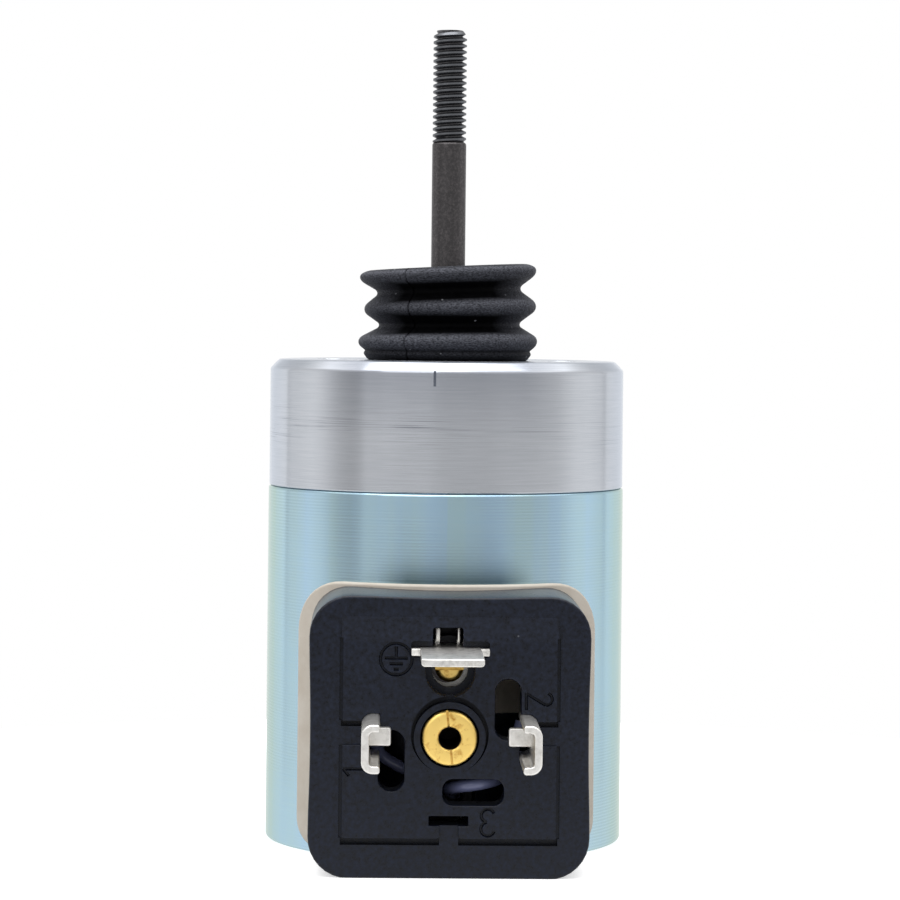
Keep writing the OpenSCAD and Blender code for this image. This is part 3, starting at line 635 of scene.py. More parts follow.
@dataclass(frozen=True)
class Moulded(Finish):
    """Moulded plastic or rubber: a mottled skin with fine grain and a few pale specks."""

    colour: str
    mottle: str
    speck: str
    roughness: Span
    grain_mm: float
    grain_depth_mm: float
    mottle_mm: float
    speck_mm: float = 1.2
    speck_size: float = 0.05
    dust_reach_mm: Span | None = None
    dust: str = "#6a6b70"
    dust_share: float = 0.6
    dust_patchy: Span = (0.15, 1.1)
    dust_above_mm: float = 0.0
    dust_ramp_mm: float = 0.4
    dust_below: float = 0.5
    # Dust on what faces up, which also paints the upper faces lighter and the undersides darker, as light from above
    # would
    dust_and_top_light_slope: Span = (-0.6, 0.5)
    dust_and_shade_under: float = 0.7
    # Painted sheen at the sides, and dust on flat tops
    sheen_and_top_dust: float = 0.5
    sheen_flank: Span = (0.6, 1.0)
    dust_level: Span = (0.94, 0.985)
    specular: float = 0.5
    mottle_breakup: float = 0.6
    grain_drawn: float = 1.0
    settled: str | None = None
    settled_share: float = 0.5
    settled_slope: Span = (0.4, 0.95)
    settled_y_mm: Span = (-31.2, -27.5)
    settled_reach_mm: Span = (22.6, 23.4)
    settled_x_mm: Span = (6.0, 10.0)
    settled_least: float = 0.5

    def dress(self, tree: Tree, surface: Node, place: Socket) -> None:
        """Adds mottling, grain, specks and dust; on the bellows the dust also paints sheen at the sides and light from
        above.

        Args:
            tree: the material's node tree.
            surface: its shader.
            place: Object coordinates.
        """
        along = 1 / self.grain_drawn
        drawn = add_node(tree, "Mapping", {"Vector": place, "Scale": (along, along, 1)})
        grain = add_node(tree, "TexNoise", {"Vector": drawn, "Scale": 1 / (self.grain_mm * MM),
                                            "Detail": EVEN})
        mottle = add_node(tree, "TexNoise", {"Vector": place, "Scale": 1 / (self.mottle_mm * MM),
                                             "Detail": FINE, "Roughness": self.mottle_breakup})
        amount = add_node(tree, "MapRange", {"Value": mottle.outputs["Fac"], "From Min": STAIN_LOW,
                                             "From Max": STAIN_HIGH})
        colour = add_node(tree, "Mix", {0: amount, MIX_A: linear(self.colour), MIX_B: linear(self.mottle)},
                          data_type="RGBA")
        skin = colour.outputs[MIX_RESULT]
        if self.dust_reach_mm is not None:
            thin, thick = self.dust_patchy
            patch = add_node(tree, "MapRange", {"Value": grain.outputs["Fac"], "From Min": NOISE_LOW,
                                                "From Max": NOISE_HIGH, "To Min": thin, "To Max": thick})
            skin = self.dusted(tree, place, patch.outputs[0], skin)
        if self.settled is not None:
            skin = self.covered(tree, place, mottle.outputs["Fac"], skin)
        skin = self.flecked(tree, place, skin, self.speck, self.speck_mm, self.speck_size)
        self.lay(tree, surface, skin, grain.outputs["Fac"], self.grain_depth_mm)
        self.roughen(tree, surface, mottle.outputs["Fac"], self.roughness)
        surface.inputs["Specular IOR Level"].default_value = self.specular

    def covered(self, tree: Tree, place: Socket, mottle: Socket, skin: Socket) -> Socket:
        """Lays dust on what faces up, behind the front.

        Args:
            tree: the material's node tree.
            place: Object coordinates.
            mottle: noise that breaks the dust up.
            skin: colour below the dust.

        Returns:
            The colour with its dust.
        """
        facing = add_node(tree, "TexCoord").outputs["Normal"]
        upward = add_node(tree, "SeparateXYZ", {"Vector": facing}).outputs["Z"]
        steep, flat = self.settled_slope
        lies = add_node(tree, "MapRange", {"Value": upward, "From Min": steep, "From Max": flat,
                                           "To Max": 2 * self.settled_share})
        front, back = (y * MM for y in self.settled_y_mm)
        near, far = (r * MM for r in self.settled_reach_mm)
        split, reach = from_axis(tree, place)
        behind = add_node(tree, "MapRange", {"Value": split["Y"], "From Min": front, "From Max": back})
        # Keeps the wall bare, and so darker, next to the gasket
        clear = add_node(tree, "MapRange", {"Value": reach, "From Min": near, "From Max": far})
        middle, corner = (x * MM for x in self.settled_x_mm)
        off = add_node(tree, "Math", {0: split["X"]}, operation="ABSOLUTE")
        aside = add_node(tree, "MapRange", {"Value": off, "From Min": middle, "From Max": corner,
                                            "To Min": self.settled_least})
        piled = add_node(tree, "Math", {0: lies, 1: aside}, operation="MULTIPLY")
        broken = add_node(tree, "Math", {0: piled, 1: mottle}, operation="MULTIPLY")
        open_part = add_node(tree, "Math", {0: behind, 1: clear}, operation="MULTIPLY")
        amount = add_node(tree, "Math", {0: broken, 1: open_part}, operation="MULTIPLY", use_clamp=True)
        dusty = add_node(tree, "Mix", {0: amount, MIX_A: skin, MIX_B: linear(self.settled)}, data_type="RGBA")
        return dusty.outputs[MIX_RESULT]

    def dusted(self, tree: Tree, place: Socket, grain: Socket, skin: Socket) -> Socket:
        """Lays dust on what stands out furthest from the axis and more on what faces up, which partly paints the light
        from above; at the sides and on flat tops it lays the same colour, which at the sides is painted sheen.

        Args:
            tree: the material's node tree.
            place: Object coordinates.
            grain: fine noise that breaks the dust up.
            skin: colour below the dust.

        Returns:
            The colour with its dust.
        """
        low, high = self.dust_reach_mm
        split, reach = from_axis(tree, place)
        rise = add_node(tree, "MapRange", {"Value": reach, "From Min": low * MM, "From Max": high * MM,
                                           "To Max": self.dust_share})
        start = self.dust_above_mm * MM
        above = add_node(tree, "MapRange", {"Value": split["Z"], "From Min": start,
                                            "From Max": start + self.dust_ramp_mm * MM,
                                            "To Min": self.dust_below})
        # More dust on what faces up: partly dust, partly painted light from above
        facing = add_node(tree, "TexCoord").outputs["Normal"]
        upward = add_node(tree, "SeparateXYZ", {"Vector": facing}).outputs["Z"]
        down, slope = self.dust_and_top_light_slope
        lies = add_node(tree, "MapRange", {"Value": upward, "From Min": down, "From Max": slope,
                                           "To Min": self.dust_and_shade_under})
        coat = add_node(tree, "Math", {0: rise, 1: lies}, operation="MULTIPLY")
        # At the sides the dust colour is painted sheen
        aside = add_node(tree, "Math", {0: split["X"]}, operation="ABSOLUTE")
        turned = add_node(tree, "Math", {0: aside, 1: reach}, operation="DIVIDE")
        near, far = self.sheen_flank
        flank = add_node(tree, "MapRange", {"Value": turned, "From Min": near, "From Max": far,
                                            "To Max": self.sheen_and_top_dust})
        near, far = self.dust_level
        level = add_node(tree, "MapRange", {"Value": upward, "From Min": near, "From Max": far,
                                            "To Max": self.sheen_and_top_dust})
        away = add_node(tree, "Math", {0: level, 1: flank}, operation="MAXIMUM")
        most = add_node(tree, "Math", {0: coat, 1: away}, operation="MAXIMUM")
        broken = add_node(tree, "Math", {0: most, 1: grain}, operation="MULTIPLY")
        amount = add_node(tree, "Math", {0: broken, 1: above}, operation="MULTIPLY", use_clamp=True)
        dusty = add_node(tree, "Mix", {0: amount, MIX_A: skin, MIX_B: linear(self.dust)}, data_type="RGBA")
        return dusty.outputs[MIX_RESULT]


@dataclass(frozen=True)
class Wound(Finish):
    """Rows of wire or tape wound round the axis, each row a small hump."""

    colour: str
    shade: str
    roughness: float
    row_mm: float
    row_depth_mm: float
    metallic: float

    def dress(self, tree: Tree, surface: Node, place: Socket) -> None:
        """Adds the rows.

        Args:
            tree: the material's node tree.
            surface: its shader.
            place: Object coordinates.
        """
        scale = math.pi / (WAVE_UNIT * self.row_mm * MM)
        rows = add_node(tree, "TexWave", {"Vector": place, "Scale": scale}, wave_type="BANDS",
                        bands_direction="Z")
        colour = add_node(tree, "Mix", {0: rows.outputs["Fac"], MIX_A: linear(self.shade),
                                        MIX_B: linear(self.colour)}, data_type="RGBA")
        self.lay(tree, surface, colour.outputs[MIX_RESULT], rows.outputs["Fac"], self.row_depth_mm)
        surface.inputs["Roughness"].default_value = self.roughness
        surface.inputs["Metallic"].default_value = self.metallic


# Blue-passivated zinc plate on turned steel: pale blue metal, soft gloss, tool rings under the plate, and a darker
# front patch just above the gasket that is a painted reflection of the plug base
BLUE_ZINC = TurnedMetal("blue_zinc_plated_steel", "#aecadd", "#b4ccd9", (0.19, 0.25), 0.22, 0.0006,
                        (9.0, 0.35), 14.0, streak_share=0.3, edge_tint="#e2e6d9", feed_share=0.12,
                        hues=("#f7fbff", "#fbfdf4"), front_dark="#728080", front_dark_power=2.0)
# Bare turned aluminium: neutral bright metal with close rings and dull handling streaks, and a front patch that is
# darker towards the top
TURNED_ALUMINIUM = TurnedMetal("lathe_turned_aluminium", "#c5c8ce", "#bec2c8", (0.2, 0.27), 0.16, 0.0006,
                               (5.0, 0.2), 10.0, streak_share=0.75, edge_tint="#e4e8ee", feed_mm=0.2,
                               feed_share=0.06, scratched_mm=(43.4, 49.2), front_dark="#dedfe3",
                               front_dark_x_mm=(9.0, 13.5), front_dark_aside_mm=-0.8, front_dark_z_mm=(45.5, 52.8))
# Chloroprene rubber out of the mould: matt black, grey with dust where it stands out; the dust is thicker on upward
# faces, partly as painted light from above, and at the sides it is painted sheen
BELLOWS_RUBBER = Moulded("dusty_chloroprene_rubber", "#030304", "#08080a", "#b4b6bc", (0.5, 0.66), 0.1, 0.02,
                         0.6, speck_mm=2.4, speck_size=0.07, dust_reach_mm=(9.0, 9.65), dust="#7c7e88",
                         dust_above_mm=54.8, specular=0.03, grain_drawn=2.5)
# Nitrile rubber of the seals: matt black with a faint sheen
SEAL_RUBBER = Moulded("nitrile_rubber", "#1a1a1c", "#232326", "#4a4a4e", (0.5, 0.65), 0.2, 0.01, 2.0)
# Glass-filled nylon, moulded: dark blue-grey skin, mottled by the fibre, with a dull sheen
BLACK_NYLON = Moulded("glass_filled_nylon", "#11141d", "#1e2434", "#6a6d75", (0.26, 0.38), 0.2, 0.01, 0.45,
                      speck_mm=4.5, speck_size=0.03, specular=0.25, settled="#a5a29a", settled_share=0.25)
# Cream silicone sheet, die cut: pale, matt and even
CREAM_SILICONE = Moulded("cream_silicone_sheet", "#dcd4c8", "#d2c8ba", "#efe4d6", (0.5, 0.62), 0.3, 0.008,
                         3.0)
# Natural nylon of the coil's spool: off-white, slightly waxy
SPOOL_NYLON = Moulded("natural_nylon", "#e4dfd2", "#d8d2c3", "#f0ece2", (0.4, 0.5), 0.3, 0.006, 4.0)
# Soft wire insulation: dark blue and glossy
LEAD_PVC = Moulded("dark_blue_pvc", "#7a80a6", "#848ab0", "#8e94ba", (0.16, 0.24), 0.4, 0.004, 2.0)
# Black oxide on steel: brown-black, satin, with a fine salt-and-pepper grain
BLACK_OXIDE = PlainMetal("black_oxidised_steel", "#4b494a", "#666263", (0.24, 0.34), 0.12, 0.004, 0.3,
                         metallic=0.85, edge_tint="#d0d0d0", worn="#6c6e72", worn_mm=(78.2, 78.6),
                         worn_reach_mm=(1.36, 1.56), speck="#b0aca8")
# Tin over brass strip: soft white metal, dulled where it was bent
TIN_PLATE = PlainMetal("tin_plated_brass", "#efede9", "#cfccc7", (0.34, 0.46), 0.2, 0.004, 1.1)
# Tin plate that has been rubbed: glossier, with grey patches
DULL_TIN = PlainMetal("rubbed_tin_plate", "#f4f2ee", "#c4c2be", (0.34, 0.46), 0.2, 0.004, 0.7, stain_from=0.4)
# Free-cutting brass: yellow gold, browned where it has tarnished
BRASS = PlainMetal("free_cutting_brass", "#ffdc82", "#c48c35", (0.36, 0.46), 0.4, 0.002, 0.9, stain_from=0.52)
# Painted shade deep in the tapped hole: a dull dark brown that stands for the shade between its threads
HOLE_SHADE_BRASS = PlainMetal("painted_shade_of_tapped_hole", "#241708", "#150d05", (0.5, 0.6), 0.3, 0.02, 0.7,
                          metallic=0.4)
# Drawn brass sheet: pale gold, even and rather glossy
BRASS_SHEET = PlainMetal("drawn_brass_sheet", "#d9b366", "#c39a4c", (0.25, 0.36), 0.3, 0.003, 3.0)
# Sintered bronze of the bushes: dark gold with open pores
BRONZE = PlainMetal("sintered_bronze", "#b5854a", "#8a6234", (0.4, 0.55), 0.12, 0.01, 1.0)
# Soft iron of the magnet's core, ground and oiled: mid grey with a dull shine
SOFT_IRON = PlainMetal("soft_iron", "#8f9296", "#7b7e82", (0.35, 0.48), 0.25, 0.005, 2.5)
# Spring steel, drawn bright: pale neutral metal with a clear shine
SPRING_STEEL = PlainMetal("bright_spring_steel", "#c2c5c8", "#a9acb0", (0.2, 0.3), 0.3, 0.002, 2.0)
# Enamelled copper wire, wound in close rows: red-brown gloss
COPPER_WIRE = Wound("enamelled_copper_wire", "#c0703a", "#7d4322", 0.3, 0.32, 0.08, 1.0)
# Polyester tape over the winding, lapped: amber and smooth
COIL_TAPE = Wound("polyester_tape", "#dcb646", "#c79f34", 0.35, 6.0, 0.05, 0.0)


class Solid:
    """A mesh under construction, in mm, with the operations that the pieces share."""

    def __init__(self) -> None:
        """Starts with an empty mesh."""
        self.bm = bmesh.new()

    def line(self, corners: Sequence[Corner], upright: bool, closed: bool = True, arc_steps: int = 6) -> None:
        """Draws an outline and rounds its corners.

        Args:
            corners: corners in order.
            upright: whether up is Z, as for turning, or Y, as for a prism.
            closed: whether the last corner joins the first.
            arc_steps: segments of each rounding.
        """
        verts = [self.bm.verts.new((c.across, 0, c.up) if upright else (c.across, c.up, 0)) for c in corners]
        followers = verts[1:] + verts[:1] if closed else verts[1:]
        for here, there in zip(verts, followers):
            self.bm.edges.new((here, there))
        for soft in sorted({c.soft for c in corners if c.soft > 0}):
            group = [v for v, c in zip(verts, corners) if c.soft == soft]
            bmesh.ops.bevel(self.bm, geom=group, offset=soft, offset_type="OFFSET", segments=arc_steps,
                            profile=ROUND_PROFILE, affect="VERTICES", material=-1)

    def turn(self, corners: Sequence[Corner], steps: int, closed: bool = True, arc_steps: int = 6) -> "Solid":
        """Spins an outline of radius and height round Z.

        Args:
            corners: outline; across is the radius.
            steps: segments round the axis.
            closed: whether the outline is a loop.
            arc_steps: segments of each rounding.

        Returns:
            This solid.
        """
        self.line(corners, True, closed, arc_steps)
        self.spin(steps)
        return self.tidy()

    def spin(self, steps: int, rise: float = 0.0, turns: int = 1) -> None:
        """Sweeps the whole mesh round Z, into a ring or a coil.

        Args:
            steps: segments in all.
            rise: how far a coil climbs in all; 0 makes a ring.
            turns: turns of the coil.
        """
        bmesh.ops.spin(self.bm, geom=self.bm.verts[:] + self.bm.edges[:], cent=(0, 0, 0), axis=(0, 0, 1),
                       dvec=(0, 0, rise / steps), angle=math.tau * turns, steps=steps, use_merge=rise == 0,
                       use_duplicate=False)

    def split(self, spot: Sequence[float], facing: Sequence[float], cut_off: bool = False) -> None:
        """Cuts the mesh along a plane.

        Args:
            spot: a point on the plane.
            facing: the plane's normal.
            cut_off: whether what lies on the normal's side goes.
        """
        everything = self.bm.verts[:] + self.bm.edges[:] + self.bm.faces[:]
        bmesh.ops.bisect_plane(self.bm, geom=everything, plane_co=spot, plane_no=facing, clear_outer=cut_off)

    def prism(self, corners: Sequence[Corner], low: float, high: float, edge: float = 0.0,
              edge_steps: int = 4, arc_steps: int = 8) -> "Solid":
        """Extrudes an outline along Z.

        Args:
            corners: outline in the XY plane.
            low: height of its foot.
            high: height of its top.
            edge: rounding of the top's rim.
            edge_steps: segments of that rounding.
            arc_steps: segments of each corner's rounding.

        Returns:
            This solid.
        """
        self.line(corners, False, True, arc_steps)
        self.raise_outline(low, high)
        if edge > 0:
            self.soften_rim(high, edge, edge_steps)
        return self

    def raise_outline(self, low: float, high: float) -> None:
        """Fills the outline at Z = 0 and extrudes it.

        Args:
            low: height of its foot.
            high: height of its top.
        """
        bmesh.ops.edgeloop_fill(self.bm, edges=self.bm.edges[:])
        bmesh.ops.translate(self.bm, verts=self.bm.verts[:], vec=(0, 0, low))
        grown = bmesh.ops.extrude_face_region(self.bm, geom=self.bm.faces[:])["geom"]
        top = [v for v in grown if isinstance(v, bmesh.types.BMVert)]
        bmesh.ops.translate(self.bm, verts=top, vec=(0, 0, high - low))
        self.tidy()

    def soften(self, edges: list[bmesh.types.BMEdge], reach: float, steps: int) -> "Solid":
        """Rounds edges over a reach, in so many steps, and returns this solid."""
        bmesh.ops.bevel(self.bm, geom=edges, offset=reach, offset_type="OFFSET", segments=steps,
                        profile=ROUND_PROFILE, affect="EDGES", material=-1)
        return self

    def soften_rim(self, height: float, reach: float, steps: int) -> "Solid":
        """Rounds the edges that lie flat at one height, where a flat face meets a wall; see soften."""
        level = [e for e in self.bm.edges if all(abs(v.co.z - height) < MERGE_MM for v in e.verts)]
        return self.soften([e for e in level if e.calc_face_angle(0) > SHARP_ANGLE], reach, steps)

    def soften_sharp(self, reach: float, steps: int = 2) -> "Solid":
        """Rounds every sharp edge; see soften."""
        return self.soften([e for e in self.bm.edges if e.calc_face_angle(0) > SHARP_ANGLE], reach, steps)

    def block(self, low: Sequence[float], high: Sequence[float], edge: float = 0.0) -> "Solid":
        """Adds a block between two corners, with softened edges.

        Args:
            low: lowest corner.
            high: highest corner.
            edge: reach of the rounding.

        Returns:
            This solid.
        """
        size = Vector(high) - Vector(low)
        middle = (Vector(high) + Vector(low)) / 2
        bmesh.ops.create_cube(self.bm, size=1.0, matrix=Matrix.LocRotScale(middle, None, size))
        return self.soften_sharp(edge) if edge > 0 else self

    def rod(self, radius: float, low: float, high: float, centre: Sequence[float] = (0, 0), steps: int = 64
            ) -> "Solid":
        """Adds a plain round tool along Z.

        Args:
            radius: its radius.
            low: height of its foot.
            high: height of its top.
            centre: X and Y of its axis.
            steps: segments round it.

        Returns:
            This solid.
        """
        place = Matrix.Translation((centre[0], centre[1], (low + high) / 2))
        bmesh.ops.create_cone(self.bm, cap_ends=True, segments=steps, radius1=radius, radius2=radius,
                              depth=high - low, matrix=place)
        return self

    def move(self, matrix: Matrix) -> "Solid":
        """Moves the whole mesh by a matrix and returns this solid."""
        bmesh.ops.transform(self.bm, matrix=matrix, verts=self.bm.verts[:])
        return self

    def add(self, other: "Solid") -> "Solid":
        """Takes over another solid's mesh.

        Args:
            other: the solid, which is used up.

        Returns:
            This solid.
        """
        mesh = bpy.data.meshes.new("part")
        other.bm.to_mesh(mesh)
        other.bm.free()
        self.bm.from_mesh(mesh)
        bpy.data.meshes.remove(mesh)
        return self

    def pipe(self, points: Sequence[Sequence[float]], radius: float, ring_steps: int = 1,
             line: Line = Line.STRAIGHT, closed: bool = False) -> "Solid":
        """Adds a round bar along a line.

        Args:
            points: points of the line.
            radius: the bar's radius.
            ring_steps: how finely the bar is rounded.
            line: how the bar follows the points.
            closed: whether the line closes on itself.

        Returns:
            This solid.
        """
        data = bpy.data.curves.new("pipe", "CURVE")
        data.dimensions = "3D"
        data.bevel_depth = radius
        data.bevel_resolution = ring_steps
        data.use_fill_caps = True
        spline = data.splines.new(line.value)
        spline.points.add(len(points) - 1)
        for point, spot in zip(spline.points, points):
            point.co = (*spot, 1)
        spline.use_cyclic_u = closed
        if line is Line.BENT:
            spline.use_endpoint_u = True
            spline.order_u = LINE_ORDER
            spline.resolution_u = LINE_STEPS
        curve = bpy.data.objects.new("pipe", data)
        self.bm.from_mesh(bpy.data.meshes.new_from_object(curve))
        bpy.data.objects.remove(curve)
        return self.tidy()

    def tidy(self) -> "Solid":
        """Merges points that coincide and turns the faces outwards.

        Returns:
            This solid.
        """
        bmesh.ops.remove_doubles(self.bm, verts=self.bm.verts[:], dist=MERGE_MM)
        bmesh.ops.recalc_face_normals(self.bm, faces=self.bm.faces[:])
        return self

    def shape(self, name: str) -> Shape:
        """Makes the mesh an object, still in mm.

        Args:
            name: the object's name.

        Returns:
            The object, linked to the scene.
        """
        mesh = bpy.data.meshes.new(name)
        self.bm.to_mesh(mesh)
        self.bm.free()
        made = bpy.data.objects.new(name, mesh)
        bpy.context.scene.collection.objects.link(made)
        return made


def join(target: Shape, tools: Sequence[Shape], how: Join) -> Shape:
    """Changes a solid by tools, which are used up.

    Args:
        target: the solid.
        tools: solids that are added, cut away, or kept as the common part.
        how: what the tools do.

    Returns:
        The changed solid.
    """
    for tool in tools:
        step = target.modifiers.new("step", "BOOLEAN")
        step.object = tool
        step.operation = how.value
        step.solver = "EXACT"
    seen = target.evaluated_get(bpy.context.evaluated_depsgraph_get())
    made = bpy.data.meshes.new_from_object(seen)
    target.modifiers.clear()
    old = target.data
    target.data = made
    bpy.data.meshes.remove(old)
    made.name = target.name
    for tool in tools:
        used = tool.data
        bpy.data.objects.remove(tool)
        bpy.data.meshes.remove(used)
    return target


@dataclass
class Piece:
    """A finished shape with its finish and its place in the frame."""

    shape: Shape
    finish: Finish
    slot: str
    nodes: tuple[str, ...]
    body: Body = Body.HOUSING
    end_body: Body | None = None
    blend_mm: Span = (0.0, 0.0)

    def settle(self) -> None:
        """Brings the mesh to metres, shades it, dresses it and sets it on its body."""
        mesh = self.shape.data
        mesh.transform(Matrix.Scale(MM, 4))
        mesh.shade_smooth()
        mesh.set_sharp_from_angle(angle=SHARP_ANGLE)
        mesh.materials.clear()
        mesh.materials.append(self.finish.material())
        if self.end_body is None:
            even = self.shape.modifiers.new("even_faces", "WEIGHTED_NORMAL")
            even.keep_sharp = True
            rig.ride(self.shape, self.body.value)
        else:
            start, end = ((0, 0, z * MM) for z in self.blend_mm)
            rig.blend(self.shape, self.body.value, self.end_body.value, start=start, end=end)
        if self.nodes:
            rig.replaces(self.shape, *self.nodes)
        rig.slot(self.shape, self.slot)
        LOG.info("%s: %d faces, %s", self.shape.name, len(mesh.polygons), self.finish.name)


@dataclass(frozen=True)
class PlugSide:
    """The plug base's own frame: X to the right, Y up the shell and Z away from the shell's axis."""

    seat_turn: float = math.radians(0.62)
    rim: float = 31.25
    face: float = 31.7
    wall_low: float = 28.0
    tool_low: float = 10.0
    insert_r: float = 2.875
    insert_front: float = 32.1
    insert_shoulder: float = 24.0
    tail_r: float = 2.1
    screw_r: float = 1.0
    gap: float = 0.1
    earth_rise: float = 6.9
    blade_rise: float = 9.0
    contact_x: float = 9.2
    sheet: float = 0.8

    def place(self) -> Matrix:
        """Where the plug base's frame stands in the part's frame.

        Returns:
            The matrix that puts it there.
        """
        low, high = box_mm("centre_insert")
        middle = (low.z + high.z) / 2
        return Matrix.Rotation(self.seat_turn, 4, "Z") @ Matrix.Translation((0, 0, middle)) @ LAID

    def put(self, shape: Shape) -> Shape:
        """Moves a shape that was drawn in the plug base's frame, and returns it."""
        shape.data.transform(self.place())
        return shape

    def grommet_r(self) -> float:
        """Radius of the wires' grommet."""
        low, high = box_mm("wire_grommet")
        return (high.x - low.x) / 2

    def passages(self) -> list[Span]:
        """Holes that the insert's tail, the earth screw and the wires pass through.

        Returns:
            Radius and Y of each.
        """
        low, high = box_mm("wire_grommet")
        drop = (low.z + high.z) / 2 - self.place().translation.z
        holes = ((self.tail_r, 0.0), (self.screw_r, self.earth_rise), (self.grommet_r(), drop))
        return [(radius + self.gap, rise) for radius, rise in holes]


@dataclass
class ShellCup:
    """The turned steel cup with its zinc plate."""

    side: PlugSide
    foot_round: float = 0.45
    seam_round: float = 0.32
    inner_round: float = 0.4
    wall_rows: int = 20
    hole_gap: float = 0.05
    drill_span: Span = (-3.0, 6.0)

    def build(self) -> list[Piece]:
        """Turns the cup and drills the holes behind the plug base.

        Returns:
            The shell.
        """
        low, high = box_mm("shell")
        radius, height = high.x, high.z
        inner = box_mm("pole_piece")[1].x
        floor = box_mm("bobbin")[0].z
        seam = height - self.seam_round
        rows = [Corner(radius, seam * k / self.wall_rows) for k in range(1, self.wall_rows)]
        cup = Solid().turn([Corner(0, low.z), Corner(radius, low.z, self.foot_round), *rows,
                            Corner(radius, height, self.seam_round), Corner(inner, height, self.seam_round),
                            Corner(inner, floor, self.inner_round), Corner(0, floor)],
                           ROUND_STEPS, closed=False).shape("steel_shell")
        holes = (("centre_insert", self.side.tail_r), ("earth_screw", self.side.screw_r),
                 ("wire_grommet", self.side.grommet_r()))
        drills = [self.drill(node, reach, inner) for node, reach in holes]
        return [Piece(join(cup, drills, Join.CUT), BLUE_ZINC, "zinc_steel", ("shell",))]

    def drill(self, node: str, reach: float, inner: float) -> Shape:
        """A drill for a piece that passes through the wall.

        Args:
            node: the piece.
            reach: its radius in the wall.
            inner: inside radius of the shell.

        Returns:
            The drill, along the plug base's axis.
        """
        low, high = box_mm(node)
        start, end = self.drill_span
        place = Matrix.Translation((0, 0, (low.z + high.z) / 2)) @ LAID
        return Solid().rod(reach + self.hole_gap, inner + start, inner + end).move(place).shape("drill")


@dataclass
class EndCap:
    """The turned aluminium cap with its bellows boss and mounting holes."""

    chamfer: float = 1.0
    edge_round: float = 0.22
    seam_round: float = 0.25
    boss_round: float = 0.3
    groove_w: float = 1.6
    groove_depth: float = 1.45
    spigot_round: float = 0.2
    bead: float = 1.7
    bore_r: float = 2.54
    bush_gap: float = 0.05
    bush_round: float = 0.1
    hole_depth: float = 9.0
    hole_tip: float = 1.0
    countersink: float = 0.05
    mark: tuple[float, float, float] = (-1.5, 0.16, 1.6)
    mark_over: float = 0.1

    def build(self) -> list[Piece]:
        """Turns the cap and drills its holes.

        Returns:
            The cap.
        """
        low, high = box_mm("end_cap")
        radius, top = high.x, box_mm("bellows")[0].z
        seam = box_mm("shell")[1].z
        spigot = box_mm("pole_piece")[1].x
        boss = box_mm("bellows")[1].x - self.bead
        bush_low = box_mm("front_bush")[0].z
        bush = box_mm("front_bush")[1].x + self.bush_gap
        ring = (low.z + seam) / 2
        under, over = ring - self.groove_w / 2, ring + self.groove_w / 2
        groove = spigot - self.groove_depth
        outline = [
            Corner(self.bore_r, low.z), Corner(spigot, low.z, self.spigot_round), Corner(spigot, under),
            Corner(groove, under), Corner(groove, over), Corner(spigot, over), Corner(spigot, seam),
            Corner(radius, seam, self.seam_round), Corner(radius, top - self.chamfer, self.edge_round),
            Corner(radius - self.chamfer, top, self.edge_round), Corner(boss, top),
            Corner(boss, high.z, self.boss_round), Corner(bush, high.z, self.bush_round),
            Corner(bush, bush_low), Corner(self.bore_r, bush_low)]
        cap = Solid().turn(outline, ROUND_STEPS).shape("aluminium_cap")
        cap = join(cap, [*self.drills(top), self.scribe(radius, top)], Join.CUT)
        return [Piece(cap, TURNED_ALUMINIUM, "turned_aluminium", ("end_cap",))]

    def scribe(self, radius: float, top: float) -> Shape:
        """Tool for the short line scribed below the chamfer, in front.

        Args:
            radius: the cap's radius.
            top: height of the cap's face.

        Returns:
            The tool.
        """
        x, half, long = self.mark
        edge = top - self.chamfer
        front = -math.sqrt(radius ** 2 - x ** 2)
        side = half / math.sqrt(2)
        vee = Solid().block((-side, -side, edge - long), (side, side, edge + self.mark_over))
        vee.move(Matrix.Translation((x, front, 0)) @ Matrix.Rotation(math.radians(45), 4, "Z"))
        return vee.shape("mark")

    def drills(self, top: float) -> list[Shape]:
        """Drills with a countersunk mouth for the mounting holes.

        Args:
            top: height of the cap's face.

        Returns:
            One drill per hole.
        """
        pattern = next(m for m in frame["record"]["mounts"] if m["name"] == "cap_holes")["dims"]
        radius = pattern["hole_r_mm"]
        foot, mouth = top - self.hole_depth, radius + self.countersink
        outline = [Corner(0, foot - self.hole_tip), Corner(radius, foot),
                   Corner(radius, top - self.countersink), Corner(mouth, top), Corner(mouth, top + BEYOND),
                   Corner(0, top + BEYOND)]
        offsets = [s * pattern["spacing_x_mm"] / 2 for s in (-1, 1)]
        return [Solid().turn(outline, SMALL_ROUND_STEPS, closed=False)
                .move(Matrix.Translation((x, 0, 0))).shape("drill") for x in offsets]


